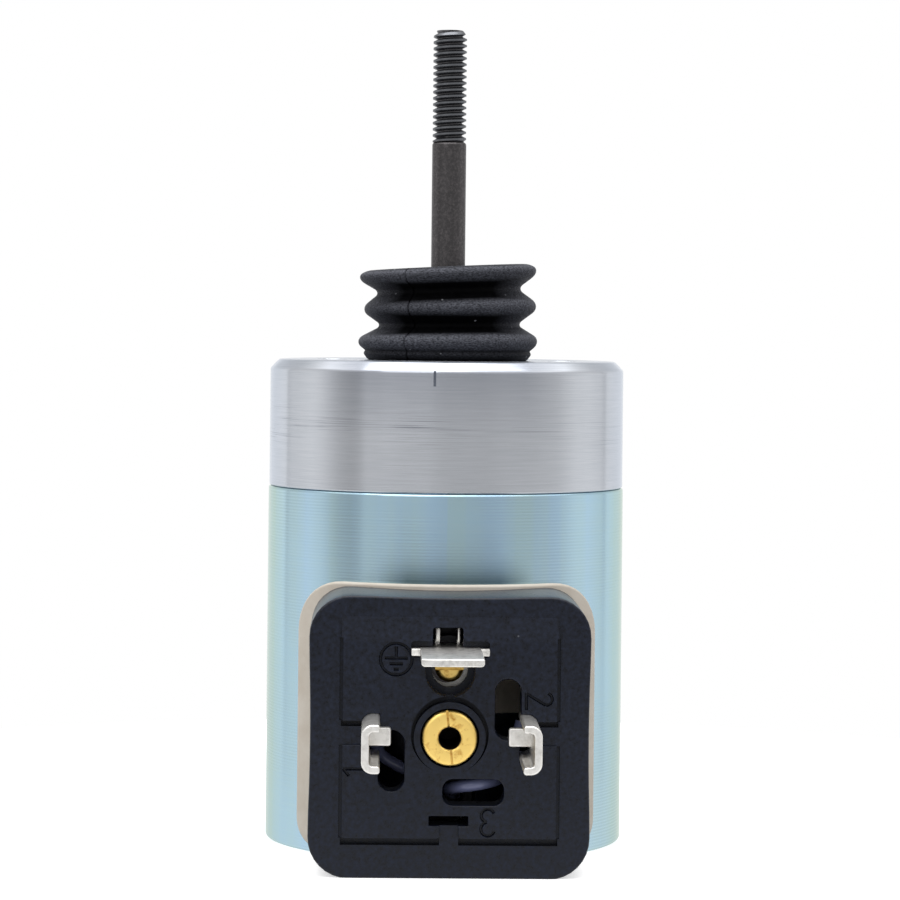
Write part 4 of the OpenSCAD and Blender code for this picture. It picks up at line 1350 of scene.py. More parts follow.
@dataclass
class Bellows:
    """The rubber bellows, a little askew, with the parting line of its mould."""

    wall: float = 0.8
    tilt: float = math.radians(2.7)
    sway: float = 0.3
    tilt_from: float = 0.9
    tilt_full: float = 9.7
    sway_at: float = 5.5
    sway_l: float = 2.5
    foot: tuple[Corner, ...] = (Corner(8.4, 0.0), Corner(9.0, 0.0, 0.2), Corner(9.5, 0.7, 0.18),
                                Corner(9.3, 1.05, 0.1))
    folds: tuple[Span, ...] = ((10.7, 2.2), (7.6, 3.95), (10.3, 5.9), (7.8, 7.85), (10.45, 9.62))
    crest_soft: float = 1.25
    root_soft: float = 0.7
    brim: Corner = Corner(9.3, 10.5, 0.6)
    collar_r: float = 2.04
    collar_l: float = 1.9
    collar_soft: float = 0.2
    stretch: Span = (0.9, 8.4)
    seam_from: float = 1.0
    parting_angle: float = math.radians(-119.5)
    parting_height: float = -0.2
    steps: int = 480
    arc_steps: int = 8

    def outline(self) -> list[Corner]:
        """Outside of the bellows from its foot to the collar, heights from the cap's face.

        Returns:
            The corners; each fold's corner lies outside the rounded crest.
        """
        softs = (self.crest_soft, self.root_soft)
        folds = [Corner(radius, height, softs[k % 2]) for k, (radius, height) in enumerate(self.folds)]
        top = self.brim.up
        return [*self.foot, *folds, self.brim, Corner(self.collar_r, top, self.collar_soft),
                Corner(self.collar_r, top - self.collar_l)]

    def build(self) -> list[Piece]:
        """Spins the bellows, leans it, sets back the parting line and gives the rubber its thickness.

        Returns:
            The bellows, stretched between the cap and the rod.
        """
        base = box_mm("bellows")[0].z
        start, end = self.stretch
        skin = Solid().turn(self.outline(), self.steps, closed=False, arc_steps=self.arc_steps)
        skin.bm.normal_update()
        seam = [(vert, vert.normal.copy()) for vert in skin.bm.verts if self.on_seam(vert.co)]
        bmesh.ops.solidify(skin.bm, geom=skin.bm.faces[:], thickness=self.wall)
        for vert, outward in seam:
            vert.co += outward * self.parting_height
        skin.tidy().move(Matrix.Rotation(self.parting_angle, 4, "Z"))
        for vert in skin.bm.verts:
            lean = self.tilt * max(0.0, vert.co.z - self.tilt_from) / (self.tilt_full - self.tilt_from)
            vert.co.z += vert.co.x * math.tan(lean)
            vert.co.x += self.sway * math.exp(-((vert.co.z - self.sway_at) / self.sway_l) ** 2)
        skin.move(Matrix.Translation((0, 0, base)))
        return [Piece(skin.shape("rubber_bellows"), BELLOWS_RUBBER, "bellows_rubber", ("bellows",),
                      end_body=Body.PLUNGER, blend_mm=(base + start, base + end))]

    def on_seam(self, spot: Vector) -> bool:
        """Whether a point lies on the mould's parting line, at angle 0."""
        near = abs(math.atan2(spot.y, spot.x)) < math.pi / self.steps
        return near and math.hypot(spot.x, spot.y) > self.collar_r + self.seam_from


@dataclass
class PushRod:
    """The black steel rod with its M4 thread."""

    shank_r: float = 1.925
    pitch: float = 0.7
    crest_r: float = 1.895
    root_r: float = 1.42
    crest_flat: float = 0.2
    root_flat: float = 0.06
    tip_r: float = 1.5
    tip_chamfer: float = 0.65
    foot_round: float = 0.15
    collar_t: float = 0.8
    collar_round: float = 0.1
    seat_drop: float = 0.4
    seat_l: float = 1.4
    seat_depth: float = 0.3
    seat_round: float = 0.05
    shoulder_round: float = 0.36
    core_l: float = 1.0
    overlap: float = 0.02
    thread_l: float = 12.77
    tip_drop: float = 0.16
    seam_mm: float = 0.002
    phase: float = -0.31
    spare_turns: int = 3
    start_turns: float = 1.5
    run_out: Span = (0.22, 0.45)
    steps: int = 72

    def build(self) -> list[Piece]:
        """Turns the rod and cuts its thread.

        Returns:
            The rod.
        """
        low, high = box_mm("push_rod")
        collar_r, shank = high.x, self.shank_r
        collar_z = box_mm("armature")[1].z
        collar_top = collar_z + self.collar_t
        shoulder = high.z - self.thread_l
        seat_top = box_mm("bellows")[1].z - self.seat_drop
        seat_low, seat_r = seat_top - self.seat_l, shank - self.seat_depth
        core = [Corner(0, low.z), Corner(shank, low.z, self.foot_round), Corner(shank, collar_z),
                Corner(collar_r, collar_z, self.collar_round),
                Corner(collar_r, collar_top, self.collar_round),
                Corner(shank, collar_top), Corner(shank, seat_low, self.seat_round),
                Corner(seat_r, seat_low), Corner(seat_r, seat_top), Corner(shank, seat_top, self.seat_round),
                Corner(shank, shoulder, self.shoulder_round), Corner(self.root_r, shoulder + self.overlap),
                Corner(self.root_r, shoulder + self.core_l), Corner(0, shoulder + self.core_l)]
        rod = Solid().turn(core, SMALL_ROUND_STEPS, closed=False)
        self.thread(rod, shoulder - self.overlap, high.z - self.tip_drop)
        return [Piece(rod.shape("push_rod_steel"), BLACK_OXIDE, "black_oxide_steel", ("push_rod",),
                      Body.PLUNGER)]

    def thread(self, rod: Solid, low: float, high: float) -> None:
        """Winds one pitch's outline up the tip, runs it out at both ends and adds it to the rod.

        Args:
            rod: the rod without its thread.
            low: where the thread starts.
            high: the rod's tip.
        """
        flank = (self.pitch - self.crest_flat - self.root_flat) / 2
        rises = [(0, self.root_r), (self.root_flat, self.root_r), (self.root_flat + flank, self.crest_r),
                 (self.root_flat + flank + self.crest_flat, self.crest_r)]
        turns = math.ceil((high - low) / self.pitch) + self.spare_turns
        start = low - self.start_turns * self.pitch + self.phase
        corners = [Corner(r, start + k * self.pitch + rise) for k in range(turns) for rise, r in rises]
        screw = Solid()
        screw.line(corners, True, closed=False)
        screw.spin(self.steps, self.pitch)
        bmesh.ops.remove_doubles(screw.bm, verts=screw.bm.verts[:], dist=self.seam_mm)
        for height, outward in ((low, -1), (high, 1)):
            screw.split((0, 0, height), (0, 0, outward), cut_off=True)
        slope = (self.crest_r - self.tip_r) / self.tip_chamfer
        short, fall = self.run_out
        for vert in screw.bm.verts:
            reach = math.hypot(vert.co.x, vert.co.y)
            filled = self.crest_r - short - (vert.co.z - low) * fall
            scale = min(max(reach, filled), self.tip_r + (high - vert.co.z) * slope) / reach
            vert.co = Vector((vert.co.x * scale, vert.co.y * scale, vert.co.z))
        bmesh.ops.holes_fill(screw.bm, edges=[e for e in screw.bm.edges if e.is_boundary])
        screw.tidy()
        rod.add(screw)


@dataclass
class ReturnSpring:
    """The coil spring between the armature's collar and the pole's bush."""

    wire_r: float = 0.3
    turns: int = 6
    turn_steps: int = 48
    wire_steps: int = 16

    def build(self) -> list[Piece]:
        """Winds the spring.

        Returns:
            The spring, stretched between the plunger and the pole.
        """
        low, high = box_mm("return_spring")
        start, end = low.z + self.wire_r, high.z - self.wire_r
        steps = self.turns * self.turn_steps
        coil = Solid()
        upright = Matrix.Translation((high.x - self.wire_r, 0, start)) @ LAID
        bmesh.ops.create_circle(coil.bm, segments=self.wire_steps, radius=self.wire_r, matrix=upright)
        coil.spin(steps, end - start, self.turns)
        bmesh.ops.holes_fill(coil.bm, edges=[e for e in coil.bm.edges if e.is_boundary])
        return [Piece(coil.tidy().shape("steel_spring"), SPRING_STEEL, "spring_steel", ("return_spring",),
                      Body.PLUNGER, Body.HOUSING, (start, end))]


def rounded_box(width: float, height: float, soft: float) -> list[Corner]:
    """Outline of a rectangle round the middle, with rounded corners."""
    return [Corner(x * width / 2, y * height / 2, soft) for x, y in ((-1, -1), (1, -1), (1, 1), (-1, 1))]


def well(opening: Opening, low: float, high: float, lip: float = 0.15, lip_steps: int = 3) -> Shape:
    """A tool for an opening whose mouth is rounded.

    Args:
        opening: its outline.
        low: height of its bottom.
        high: height of the face that it opens in.
        lip: radius of the mouth's rounding.
        lip_steps: segments of that rounding.

    Returns:
        The tool.
    """
    width, height, soft, across, up = opening
    tool = Solid().prism(rounded_box(width, height, soft), low, high - lip)
    core = Vector((width / 2 - soft, height / 2 - soft))
    for step in range(1, lip_steps + 2):
        top = max(tool.bm.faces, key=lambda f: f.calc_center_median().z)
        grown = bmesh.ops.extrude_face_region(tool.bm, geom=[top])["geom"]
        bmesh.ops.delete(tool.bm, geom=[top], context="FACES_ONLY")
        before, after = (math.radians(90) * min(k, lip_steps) / lip_steps for k in (step - 1, step))
        spread = lip * (math.cos(before) - math.cos(after))
        rise = lip * (math.sin(after) - math.sin(before)) if step <= lip_steps else BEYOND
        for vert in (v for v in grown if isinstance(v, bmesh.types.BMVert)):
            near = Vector((max(-core.x, min(core.x, vert.co.x)), max(-core.y, min(core.y, vert.co.y))))
            outward = (vert.co.to_2d() - near).normalized()
            vert.co += Vector((outward.x * spread, outward.y * spread, rise))
    return tool.tidy().move(Matrix.Translation((across, up, 0))).shape("well")


def stroke(points: Sequence[Span], width: float, depth: float, face: float, closed: bool = False) -> Shape:
    """A tool that engraves one line.

    Args:
        points: the line.
        width: its width.
        depth: how deep it is cut.
        face: height of the face.
        closed: whether it closes on itself.

    Returns:
        The tool.
    """
    solid = Solid().pipe([(x, y, 0) for x, y in points], width / 2, closed=closed)
    solid.move(Matrix.Translation((0, 0, face)) @ Matrix.Diagonal((1, 1, 2 * depth / width, 1)))
    return solid.shape("stroke")


@dataclass
class Gasket:
    """The flat gasket that is bent round the shell behind the plug base."""

    side: PlugSide
    top_corner: float = 5.6
    foot_corner: float = 3.2
    top_drop: float = 0.15
    foot_drop: float = 0.35
    edge: float = 0.32
    edge_steps: int = 3
    corner_steps: int = 10
    strips: int = 64
    gap: float = 0.01
    punch_z: Span = (10.0, 30.0)

    def build(self) -> list[Piece]:
        """Bends a flat plate round the shell and opens its holes.

        Returns:
            The gasket.
        """
        low, high = box_mm("connector_gasket")
        inner = box_mm("shell")[1].x + self.gap
        outer = -low.y - self.gap
        middle = self.side.place().translation.z
        width = high.x - low.x
        plate = Solid()
        half, foot, top = width / 2, low.z - middle - self.foot_drop, high.z - middle - self.top_drop
        plate.line([Corner(-half, foot, self.foot_corner), Corner(half, foot, self.foot_corner),
                    Corner(half, top, self.top_corner), Corner(-half, top, self.top_corner)],
                   False, True, self.corner_steps)
        bmesh.ops.edgeloop_fill(plate.bm, edges=plate.bm.edges[:])
        for strip in range(1, self.strips):
            plate.split((width * (strip / self.strips - 0.5), 0, 0), (1, 0, 0))
        wrap = math.asin(width / 2 / outer) / (width / 2)
        for vert in plate.bm.verts:
            turn = vert.co.x * wrap
            vert.co = Vector((math.sin(turn) * inner, vert.co.y, math.cos(turn) * inner))
        grown = bmesh.ops.extrude_face_region(plate.bm, geom=plate.bm.faces[:])["geom"]
        swell = Matrix.Diagonal((outer / inner, 1, outer / inner, 1))
        outside = [v for v in grown if isinstance(v, bmesh.types.BMVert)]
        bmesh.ops.transform(plate.bm, matrix=swell, verts=outside)
        plate.tidy().soften_sharp(self.edge, self.edge_steps)
        shape = join(plate.shape("cream_gasket"), self.holes(), Join.CUT)
        return [Piece(self.side.put(shape), CREAM_SILICONE, "cream_gasket", ("connector_gasket",))]

    def holes(self) -> list[Shape]:
        """Punches for what passes through the gasket, in the plug base's frame."""
        start, end = self.punch_z
        return [Solid().rod(reach, start, end, (0, rise)).shape("punch")
                for reach, rise in self.side.passages()]


@dataclass
class PlugBase:
    """The moulded base that the plug is pushed onto."""

    side: PlugSide
    spread: float = 0.16
    corner: float = 4.4
    bow: float = 0.24
    bow_steps: int = 8
    rim_edge: float = 0.28
    block_low: float = 8.0
    wall: float = 2.0
    cavity_low: float = 5.0
    corner_inset: float = 1.0
    plateau: tuple[float, float, float] = (11.35, -10.49, 12.6)
    plateau_soft: float = 0.3
    plateau_edge: float = 0.05
    plateau_steps: int = 3
    plateau_slope: Span = (9.9, 0.03)
    notch: tuple[float, float, float] = (-0.8, 1.74, 2.4)
    key: Span = (2.0, 2.35)
    slot: Span = (2.75, 6.4)
    slot_soft: float = 1.365
    slot_spots: tuple[Span, ...] = ((-6.075, -2.4), (6.075, 3.0))
    blank_soft: float = 1.1
    blank_spot: Span = (2.5, -5.65)
    slit: Opening = Opening(4.1, 1.0, 0.08, -0.05, -8.65)
    blade_slot: Opening = Opening(6.5, 0.9, 0.1)
    finger_slot: Opening = Opening(3.2, 2.5, 0.3, -0.25, 1.25)
    ear_seat: Opening = Opening(8.2, 1.7, 0.4, 0.0, 0.25)
    ear_depth: float = 1.2
    ear_lip: float = 0.05
    screw_hole: Opening = Opening(3.8, 3.8, 1.89)
    screw_mouth: Opening = Opening(5.2, 5.2, 2.59)
    mouth_floor: float = 0.8
    groove: Span = (0.75, 1.2)
    brow: float = 0.6
    side_line: Span = (0.38, 0.35)
    side_line_stop: float = 2.2
    line_over: float = 0.5
    web: float = 0.6
    web_lap: float = 0.2
    boss_low: float = 15.0
    boss_wall: float = 1.4
    boss_lap: float = 0.2
    screw_boss: Span = (3.2, 3.0)
    insert_gap: float = 0.22
    bore_end: float = 40.0
    bore_tops: Span = (27.0, 26.0)
    one: tuple[tuple[Span, Span], ...] = (((-8.75, -3.28), (-11.1, -3.28)), ((-11.08, -3.28), (-10.45, -4.0)))
    two: tuple[tuple[Span, Span], ...] = (((7.97, 3.0), (7.97, 4.77)), ((7.97, 4.7), (9.98, 3.5)))
    two_head: Arc = Arc((10.05, 4.13), 0.62, -95, 75, 8)
    three: tuple[Arc, Arc] = (Arc((4.05, -8.05), 0.68, 20, 262, 10), Arc((4.05, -9.45), 0.72, 98, 340, 10))
    sign: Arc = Arc((-5.65, 8.2), 1.65, 0, 350, 35)
    sign_stem: float = 1.33
    sign_bars: tuple[Span, ...] = ((1.2, 0.1), (0.7, -0.5), (0.27, -1.05))
    mark_w: float = 0.34
    mark_depth: float = 0.6
    rebate: Span = (0.45, 0.25)
    collar: tuple[float, float, float, float] = (3.75, 4.05, 0.32, 2.0)
    contact_slot_mm: tuple[float, float, float] = (-9.2, -7.3, 2.5)
    contact_bend: float = 1.1
    contact_gap: float = 0.04
    window: tuple[float, float, float, float] = (4.75, 8.1, 1.4, 5.8)

    def build(self) -> list[Piece]:
        """Moulds the block, opens its front and engraves its marks.

        Returns:
            The base.
        """
        side = self.side
        low, high = box_mm("connector_base")
        width = high.x - low.x
        plain = Solid().prism(self.block_outline(width), self.block_low, side.rim, self.rim_edge)
        raised = Solid().prism(self.plateau_outline(), side.rim - BEYOND, side.face, self.plateau_edge,
                               self.plateau_steps)
        self.run_out(raised)
        block = join(plain.shape("nylon_base"), [raised.shape("plateau")], Join.ADD)
        inside = width - 2 * self.wall
        room = rounded_box(inside, inside, self.corner - self.corner_inset)
        cavity = Solid().prism(room, self.cavity_low, side.wall_low).shape("cavity")
        tools = [cavity, *self.openings(), self.ring_groove(), *self.shadow_lines(), *self.marks()]
        block = join(block, tools, Join.CUT)
        block = join(block, [*self.bosses(), self.back_web(inside)], Join.ADD)
        block = join(block, [*self.bores(), self.back_rebate(width)], Join.CUT)
        return [Piece(side.put(block), BLACK_NYLON, "black_nylon", ("connector_base",))]

    def block_outline(self, width: float) -> list[Corner]:
        """Square with rounded corners and sides that bow inwards.

        Args:
            width: size of the square.

        Returns:
            Its corners.
        """
        half = width / 2 + self.spread
        reach = half - self.corner
        shares = [2 * k / self.bow_steps - 1 for k in range(1, self.bow_steps)]
        bowed = [(reach * share, half - self.bow * (1 - share ** 2)) for share in shares]
        return [Corner(-half, -half, self.corner), Corner(half, -half, self.corner),
                *(Corner(out, along) for along, out in bowed), Corner(half, half, self.corner),
                *(Corner(-along, out) for along, out in bowed), Corner(-half, half, self.corner),
                *(Corner(-out, -along) for along, out in bowed)]

    def plateau_outline(self) -> list[Corner]:
        """Raised middle, cut back beside the contacts and at the key.

        Returns:
            Its corners.
        """
        across, foot, up = self.plateau
        low, high, deep = self.notch
        key_w, key_h = self.key[0] / 2, self.key[1]
        soft = self.plateau_soft
        right = [Corner(key_w, foot + key_h), Corner(key_w, foot, soft), Corner(across, foot, soft),
                 Corner(across, low, soft), Corner(across - deep, low, soft),
                 Corner(across - deep, high, soft), Corner(across, high, soft), Corner(across, up, soft)]
        left = [Corner(-c.across, c.up, c.soft) for c in reversed(right)]
        return right + left

    def run_out(self, raised: Solid) -> None:
        """Slopes the raised middle down to the rim over its top end.

        Args:
            raised: the raised middle.
        """
        start, left = self.plateau_slope
        rim, end = self.side.rim, self.plateau[2]
        raised.split((0, start, 0), (0, 1, 0))
        for vert in raised.bm.verts:
            if vert.co.z > rim:
                share = max(0.0, vert.co.y - start) / (end - start)
                vert.co.z -= share * (vert.co.z - rim - left)
        bmesh.ops.triangulate(raised.bm, faces=raised.bm.faces[:])

    def openings(self) -> list[Shape]:
        """Tools for the wire slots, the contacts' slots, the screw holes and the blank slot.

        Returns:
            One tool per opening.
        """
        side, (wide, long) = self.side, self.slot
        depth = side.wall_low - BEYOND
        spots = [*(Opening(wide, long, self.slot_soft, *spot) for spot in self.slot_spots),
                 Opening(long, wide, self.blank_soft, *self.blank_spot), self.slit,
                 self.blade_slot.raised(side.blade_rise), self.finger_slot.raised(side.blade_rise),
                 self.screw_hole.raised(side.earth_rise)]
        mouth = well(self.screw_mouth.raised(side.earth_rise), side.wall_low + self.mouth_floor, side.face)
        seat = well(self.ear_seat.raised(side.blade_rise), side.face - self.ear_depth, side.face,
                    self.ear_lip)
        return [mouth, seat, *(well(spot, depth, side.face) for spot in spots),
                *(self.contact_slot(hand, depth) for hand in (1, -1))]

    def contact_slot(self, hand: int, depth: float) -> Shape:
        """Tool for the slot of a live contact.

        Args:
            hand: 1 for the left one, -1 for its mirror image.
            depth: height of the slot's bottom.

        Returns:
            The tool.
        """
        (left, right, half), gap = self.contact_slot_mm, self.contact_gap
        outline = [Corner(left - gap, -half - gap, self.contact_bend), Corner(right + gap, -half - gap, gap),
                   Corner(right + gap, half + gap, gap), Corner(left - gap, half + gap, self.contact_bend)]
        if hand < 0:
            outline = [Corner(-c.across, c.up, c.soft) for c in reversed(outline)]
        return Solid().prism(outline, depth, self.side.face + BEYOND).shape("contact_slot")

    def shadow_lines(self) -> list[Shape]:
        """Tools for the fine grooves along the foot of the raised middle and over the contacts' notches.

        Returns:
            One tool per groove.
        """
        across, foot, up = self.plateau
        notch_low, notch_high, notch_deep = self.notch
        rim, (wide, deep), (thin, shallow) = self.side.rim, self.groove, self.side_line
        near, far = across - thin / 2, across + thin / 2
        spans = [(self.key[0] / 2, across, foot - wide, foot, deep),
                 (across - notch_deep, across, notch_high - self.brow, notch_high, deep),
                 (near, far, foot, notch_low, shallow),
                 (near, far, notch_high, up - self.side_line_stop, shallow)]
        lines = []
        for left, right, low, high, cut in spans:
            for hand in (-1, 1):
                ends = sorted((hand * left, hand * right))
                lines.append(Solid().block((ends[0], low, rim - cut), (ends[1], high, rim + self.line_over))
                             .shape("line"))
        return lines

    def back_rebate(self, width: float) -> Shape:
        """Tool for the narrow gap between the base's outer edge and the gasket.

        Args:
            width: size of the base.

        Returns:
            The tool.
        """
        inset, gap = self.rebate
        reach = -box_mm("connector_gasket")[0].y + gap
        drum = Solid().rod(reach, -width, width, steps=ROUND_STEPS).move(LAID).shape("rebate")
        kept = width - 2 * inset
        core = Solid().prism(rounded_box(kept, kept, self.corner - inset), 0, reach + BEYOND).shape("core")
        return join(drum, [core], Join.CUT)

    def back_web(self, inside: float) -> Shape:
        """Thin curved web that closes the base's back on the gasket.

        Args:
            inside: size of the base's cavity.

        Returns:
            The web.
        """
        outer = -box_mm("connector_gasket")[0].y + self.web
        half, width = inside / 2 + self.web_lap, inside + 2 * self.web_lap
        drum = Solid().rod(outer, -half, half, steps=ROUND_STEPS).move(LAID).shape("web")
        room = rounded_box(width, width, self.corner - self.corner_inset)
        limit = Solid().prism(room, self.side.tool_low, outer + BEYOND).shape("limit")
        return join(drum, [limit], Join.KEEP)

    def ring_groove(self) -> Shape:
        """Tool for the groove over the insert's collar, which runs out towards its foot.

        Returns:
            The tool.
        """
        inner, outer, rise, deep = self.collar
        top = self.side.face + BEYOND
        foot = self.side.face - deep
        drum = Solid().rod(outer, foot, top, (0, rise), SMALL_ROUND_STEPS).shape("groove")
        core = Solid().rod(inner, foot - BEYOND, top + BEYOND, steps=SMALL_ROUND_STEPS).shape("collar")
        return join(drum, [core], Join.CUT)

    def marks(self) -> list[Shape]:
        """Tools for the numbers at the contacts and the earth sign.

        Returns:
            One tool per line.
        """
        x, y = self.sign.centre
        bars = [((x - half, y + rise), (x + half, y + rise)) for half, rise in self.sign_bars]
        stem = ((x, y + self.sign_stem), (x, y + self.sign_bars[0][1]))
        three = [arc.points() for arc in self.three]
        drawn = (*self.one, *self.two, self.two_head.points(), *three, stem, *bars)
        face, ring = self.side.face, self.sign.points()
        lines = [stroke(line, self.mark_w, self.mark_depth, face) for line in drawn]
        return [*lines, stroke(ring, self.mark_w, self.mark_depth, face, closed=True)]

    def bosses(self) -> list[Shape]:
        """Bosses behind the front for the insert and the earth screw.

        Returns:
            Both bosses.
        """
        side, (radius, drop) = self.side, self.screw_boss
        reach, top = side.insert_r + self.boss_wall, side.wall_low + self.boss_lap
        return [Solid().rod(reach, self.boss_low, top, steps=SMALL_ROUND_STEPS).shape("boss"),
                Solid().rod(radius, self.boss_low, side.wall_low - drop, (0, side.earth_rise)).shape("boss")]

    def bores(self) -> list[Shape]:
        """Tools for both bosses' bores, the saddle on the gasket and the window behind the right wire slot.

        Returns:
            One tool per opening.
        """
        side, far = self.side, self.bore_end
        left, right, foot, head = self.window
        reach = -box_mm("connector_gasket")[0].y
        saddle = Solid().rod(reach, -far, far, steps=ROUND_STEPS).move(LAID).shape("saddle")
        seat = Solid().rod(side.insert_r + self.insert_gap, side.insert_shoulder, far,
                           steps=SMALL_ROUND_STEPS)
        tops = (side.insert_shoulder + BEYOND, *self.bore_tops)
        bores = [Solid().rod(radius, side.tool_low, top, (0, rise)).shape("bore")
                 for (radius, rise), top in zip(side.passages(), tops)]
        window = Solid().block((left, foot, side.tool_low), (right, head, self.bore_tops[-1])).shape("window")
        return [seat.shape("bore"), *bores, saddle, window]


@dataclass
class LiveContacts:
    """The two folded contacts with their seating tabs and tails."""

    side: PlugSide
    height: float = 5.0
    fold: float = 1.9
    outer_bend: float = 1.15
    inner_bend: float = 0.4
    end_soft: float = 0.28
    tip: float = 42.0
    tip_edge: float = 0.2
    tip_steps: int = 3
    tab: tuple[float, float, float] = (-0.8, 1.2, 3.1)
    tab_edge: float = 0.28
    tail_low: float = 24.6
    tail_half: float = 1.8

    def build(self) -> list[Piece]:
        """Folds both contacts.

        Returns:
            The left and the right contact.
        """
        return [Piece(self.contact(1, "tin_contact_left"), TIN_PLATE, "tinned_brass", ("contact_blade_1",)),
                Piece(self.contact(-1, "tin_contact_right"), TIN_PLATE, "tinned_brass", ("contact_blade_2",))]

    def contact(self, hand: int, name: str) -> Shape:
        """Makes one contact.

        Args:
            hand: 1 for the left one, -1 for its mirror image.
            name: the object's name.

        Returns:
            The contact in the part's frame.
        """
        side, t, half = self.side, self.side.sheet, self.height / 2
        outline = [Corner(0, -half, self.outer_bend), Corner(self.fold, -half, self.end_soft),
                   Corner(self.fold, -half + t, self.end_soft), Corner(t, -half + t, self.inner_bend),
                   Corner(t, half - t, self.inner_bend), Corner(self.fold, half - t, self.end_soft),
                   Corner(self.fold, half, self.end_soft), Corner(0, half, self.outer_bend)]
        blade = Solid().prism(outline, side.wall_low, self.tip, self.tip_edge, self.tip_steps).shape(name)
        low, high, reach = self.tab
        tab = Solid().block((t / 2, low, side.face), (reach, high, side.face + t), self.tab_edge).shape("tab")
        tail = Solid().block((0, -self.tail_half, self.tail_low), (t, self.tail_half, side.wall_low + t))
        blade = join(blade, [tab, tail.shape("tail")], Join.ADD)
        blade.data.transform(Matrix.Diagonal((hand, 1, 1, 1)) @ Matrix.Translation((-side.contact_x, 0, 0)))
        if hand < 0:
            blade.data.flip_normals()
        return side.put(blade)


@dataclass
class EarthContact:
    """The flat earth contact with its shoulders, spring fingers and foot, and the screw on the foot."""

    side: PlugSide
    width: float = 6.4
    tip: float = 43.8
    tip_steps: int = 3
    low_soft: float = 0.35
    edge: float = 0.14
    ear: float = 0.9
    fingers: tuple[Span, ...] = ((-1.3, 0.46), (0.92, 0.28))
    finger_y: Span = (0.85, 2.33)
    finger_z: Span = (26.0, 29.7)
    finger_edge: float = 0.1
    finger_lap: float = 0.1
    foot_z: float = 25.0
    foot_w: float = 6.0
    foot_y: float = 4.7
    foot_lap: float = 0.2
    punch_z: Span = (20.0, 31.0)
    head: tuple[float, float, float] = (1.5, 26.3, 27.7)
    dome: float = 0.6
    shank_round: float = 0.15
    slot_w: float = 0.4
    slot_half: float = 2.0
    slot_depth: float = 0.6

    def build(self) -> list[Piece]:
        """Makes the contact and its screw.

        Returns:
            Both pieces.
        """
        return [Piece(self.side.put(self.blade()), DULL_TIN, "tinned_brass", ("earth_blade",)),
                Piece(self.side.put(self.screw()), BRASS, "brass", ("earth_screw",))]

    def blade(self) -> Shape:
        """Makes the contact.

        Returns:
            The contact in the plug base's frame.
        """
        side, t, half = self.side, self.side.sheet, self.width / 2
        low, high = side.blade_rise - t / 2, side.blade_rise + t / 2
        section = [Corner(-half, low, self.low_soft), Corner(half, low, self.low_soft),
                   Corner(half, high, self.edge), Corner(-half, high, self.edge)]
        blade = Solid().prism(section, self.foot_z, self.tip, self.edge, self.tip_steps)
        ears = Solid().block((-half - self.ear, low, side.face), (half + self.ear, high, side.face + t),
                             self.edge)
        foot = Solid().block((-self.foot_w / 2, self.foot_y, self.foot_z),
                             (self.foot_w / 2, high - self.foot_lap, self.foot_z + t))
        under, over = (side.blade_rise + rise for rise in self.finger_y)
        (back, front), lap = self.finger_z, self.finger_lap
        spans = [(x - thick / 2, x + thick / 2) for x, thick in self.fingers]
        fingers = [Solid().block((left, under, back), (right, over, front), self.finger_edge).shape("finger")
                   for left, right in spans]
        roots = [Solid().block((left, low + lap, back), (right, under + lap, back + t)).shape("root")
                 for left, right in spans]
        extras = [ears.shape("ears"), foot.shape("foot"), *fingers, *roots]
        whole = join(blade.shape("tin_earth_contact"), extras, Join.ADD)
        punch = Solid().rod(side.screw_r + side.gap, *self.punch_z, (0, side.earth_rise)).shape("punch")
        return join(whole, [punch], Join.CUT)

    def screw(self) -> Shape:
        """Makes the domed screw with its slot.

        Returns:
            The screw in the plug base's frame.
        """
        (radius, low, high), shank = self.head, self.side.screw_r
        tail = -box_mm("earth_screw")[1].y
        outline = [Corner(0, tail), Corner(shank, tail, self.shank_round), Corner(shank, low),
                   Corner(radius, low), Corner(radius, high, self.dome), Corner(0, high)]
        head = Solid().turn(outline, SMALL_ROUND_STEPS, closed=False).shape("brass_earth_screw")
        slot = Solid().block((-self.slot_half, -self.slot_w / 2, high - self.slot_depth),
                             (self.slot_half, self.slot_w / 2, high + BEYOND)).shape("slot")
        head = join(head, [slot], Join.CUT)
        head.data.transform(Matrix.Translation((0, self.side.earth_rise, 0)))
        return head


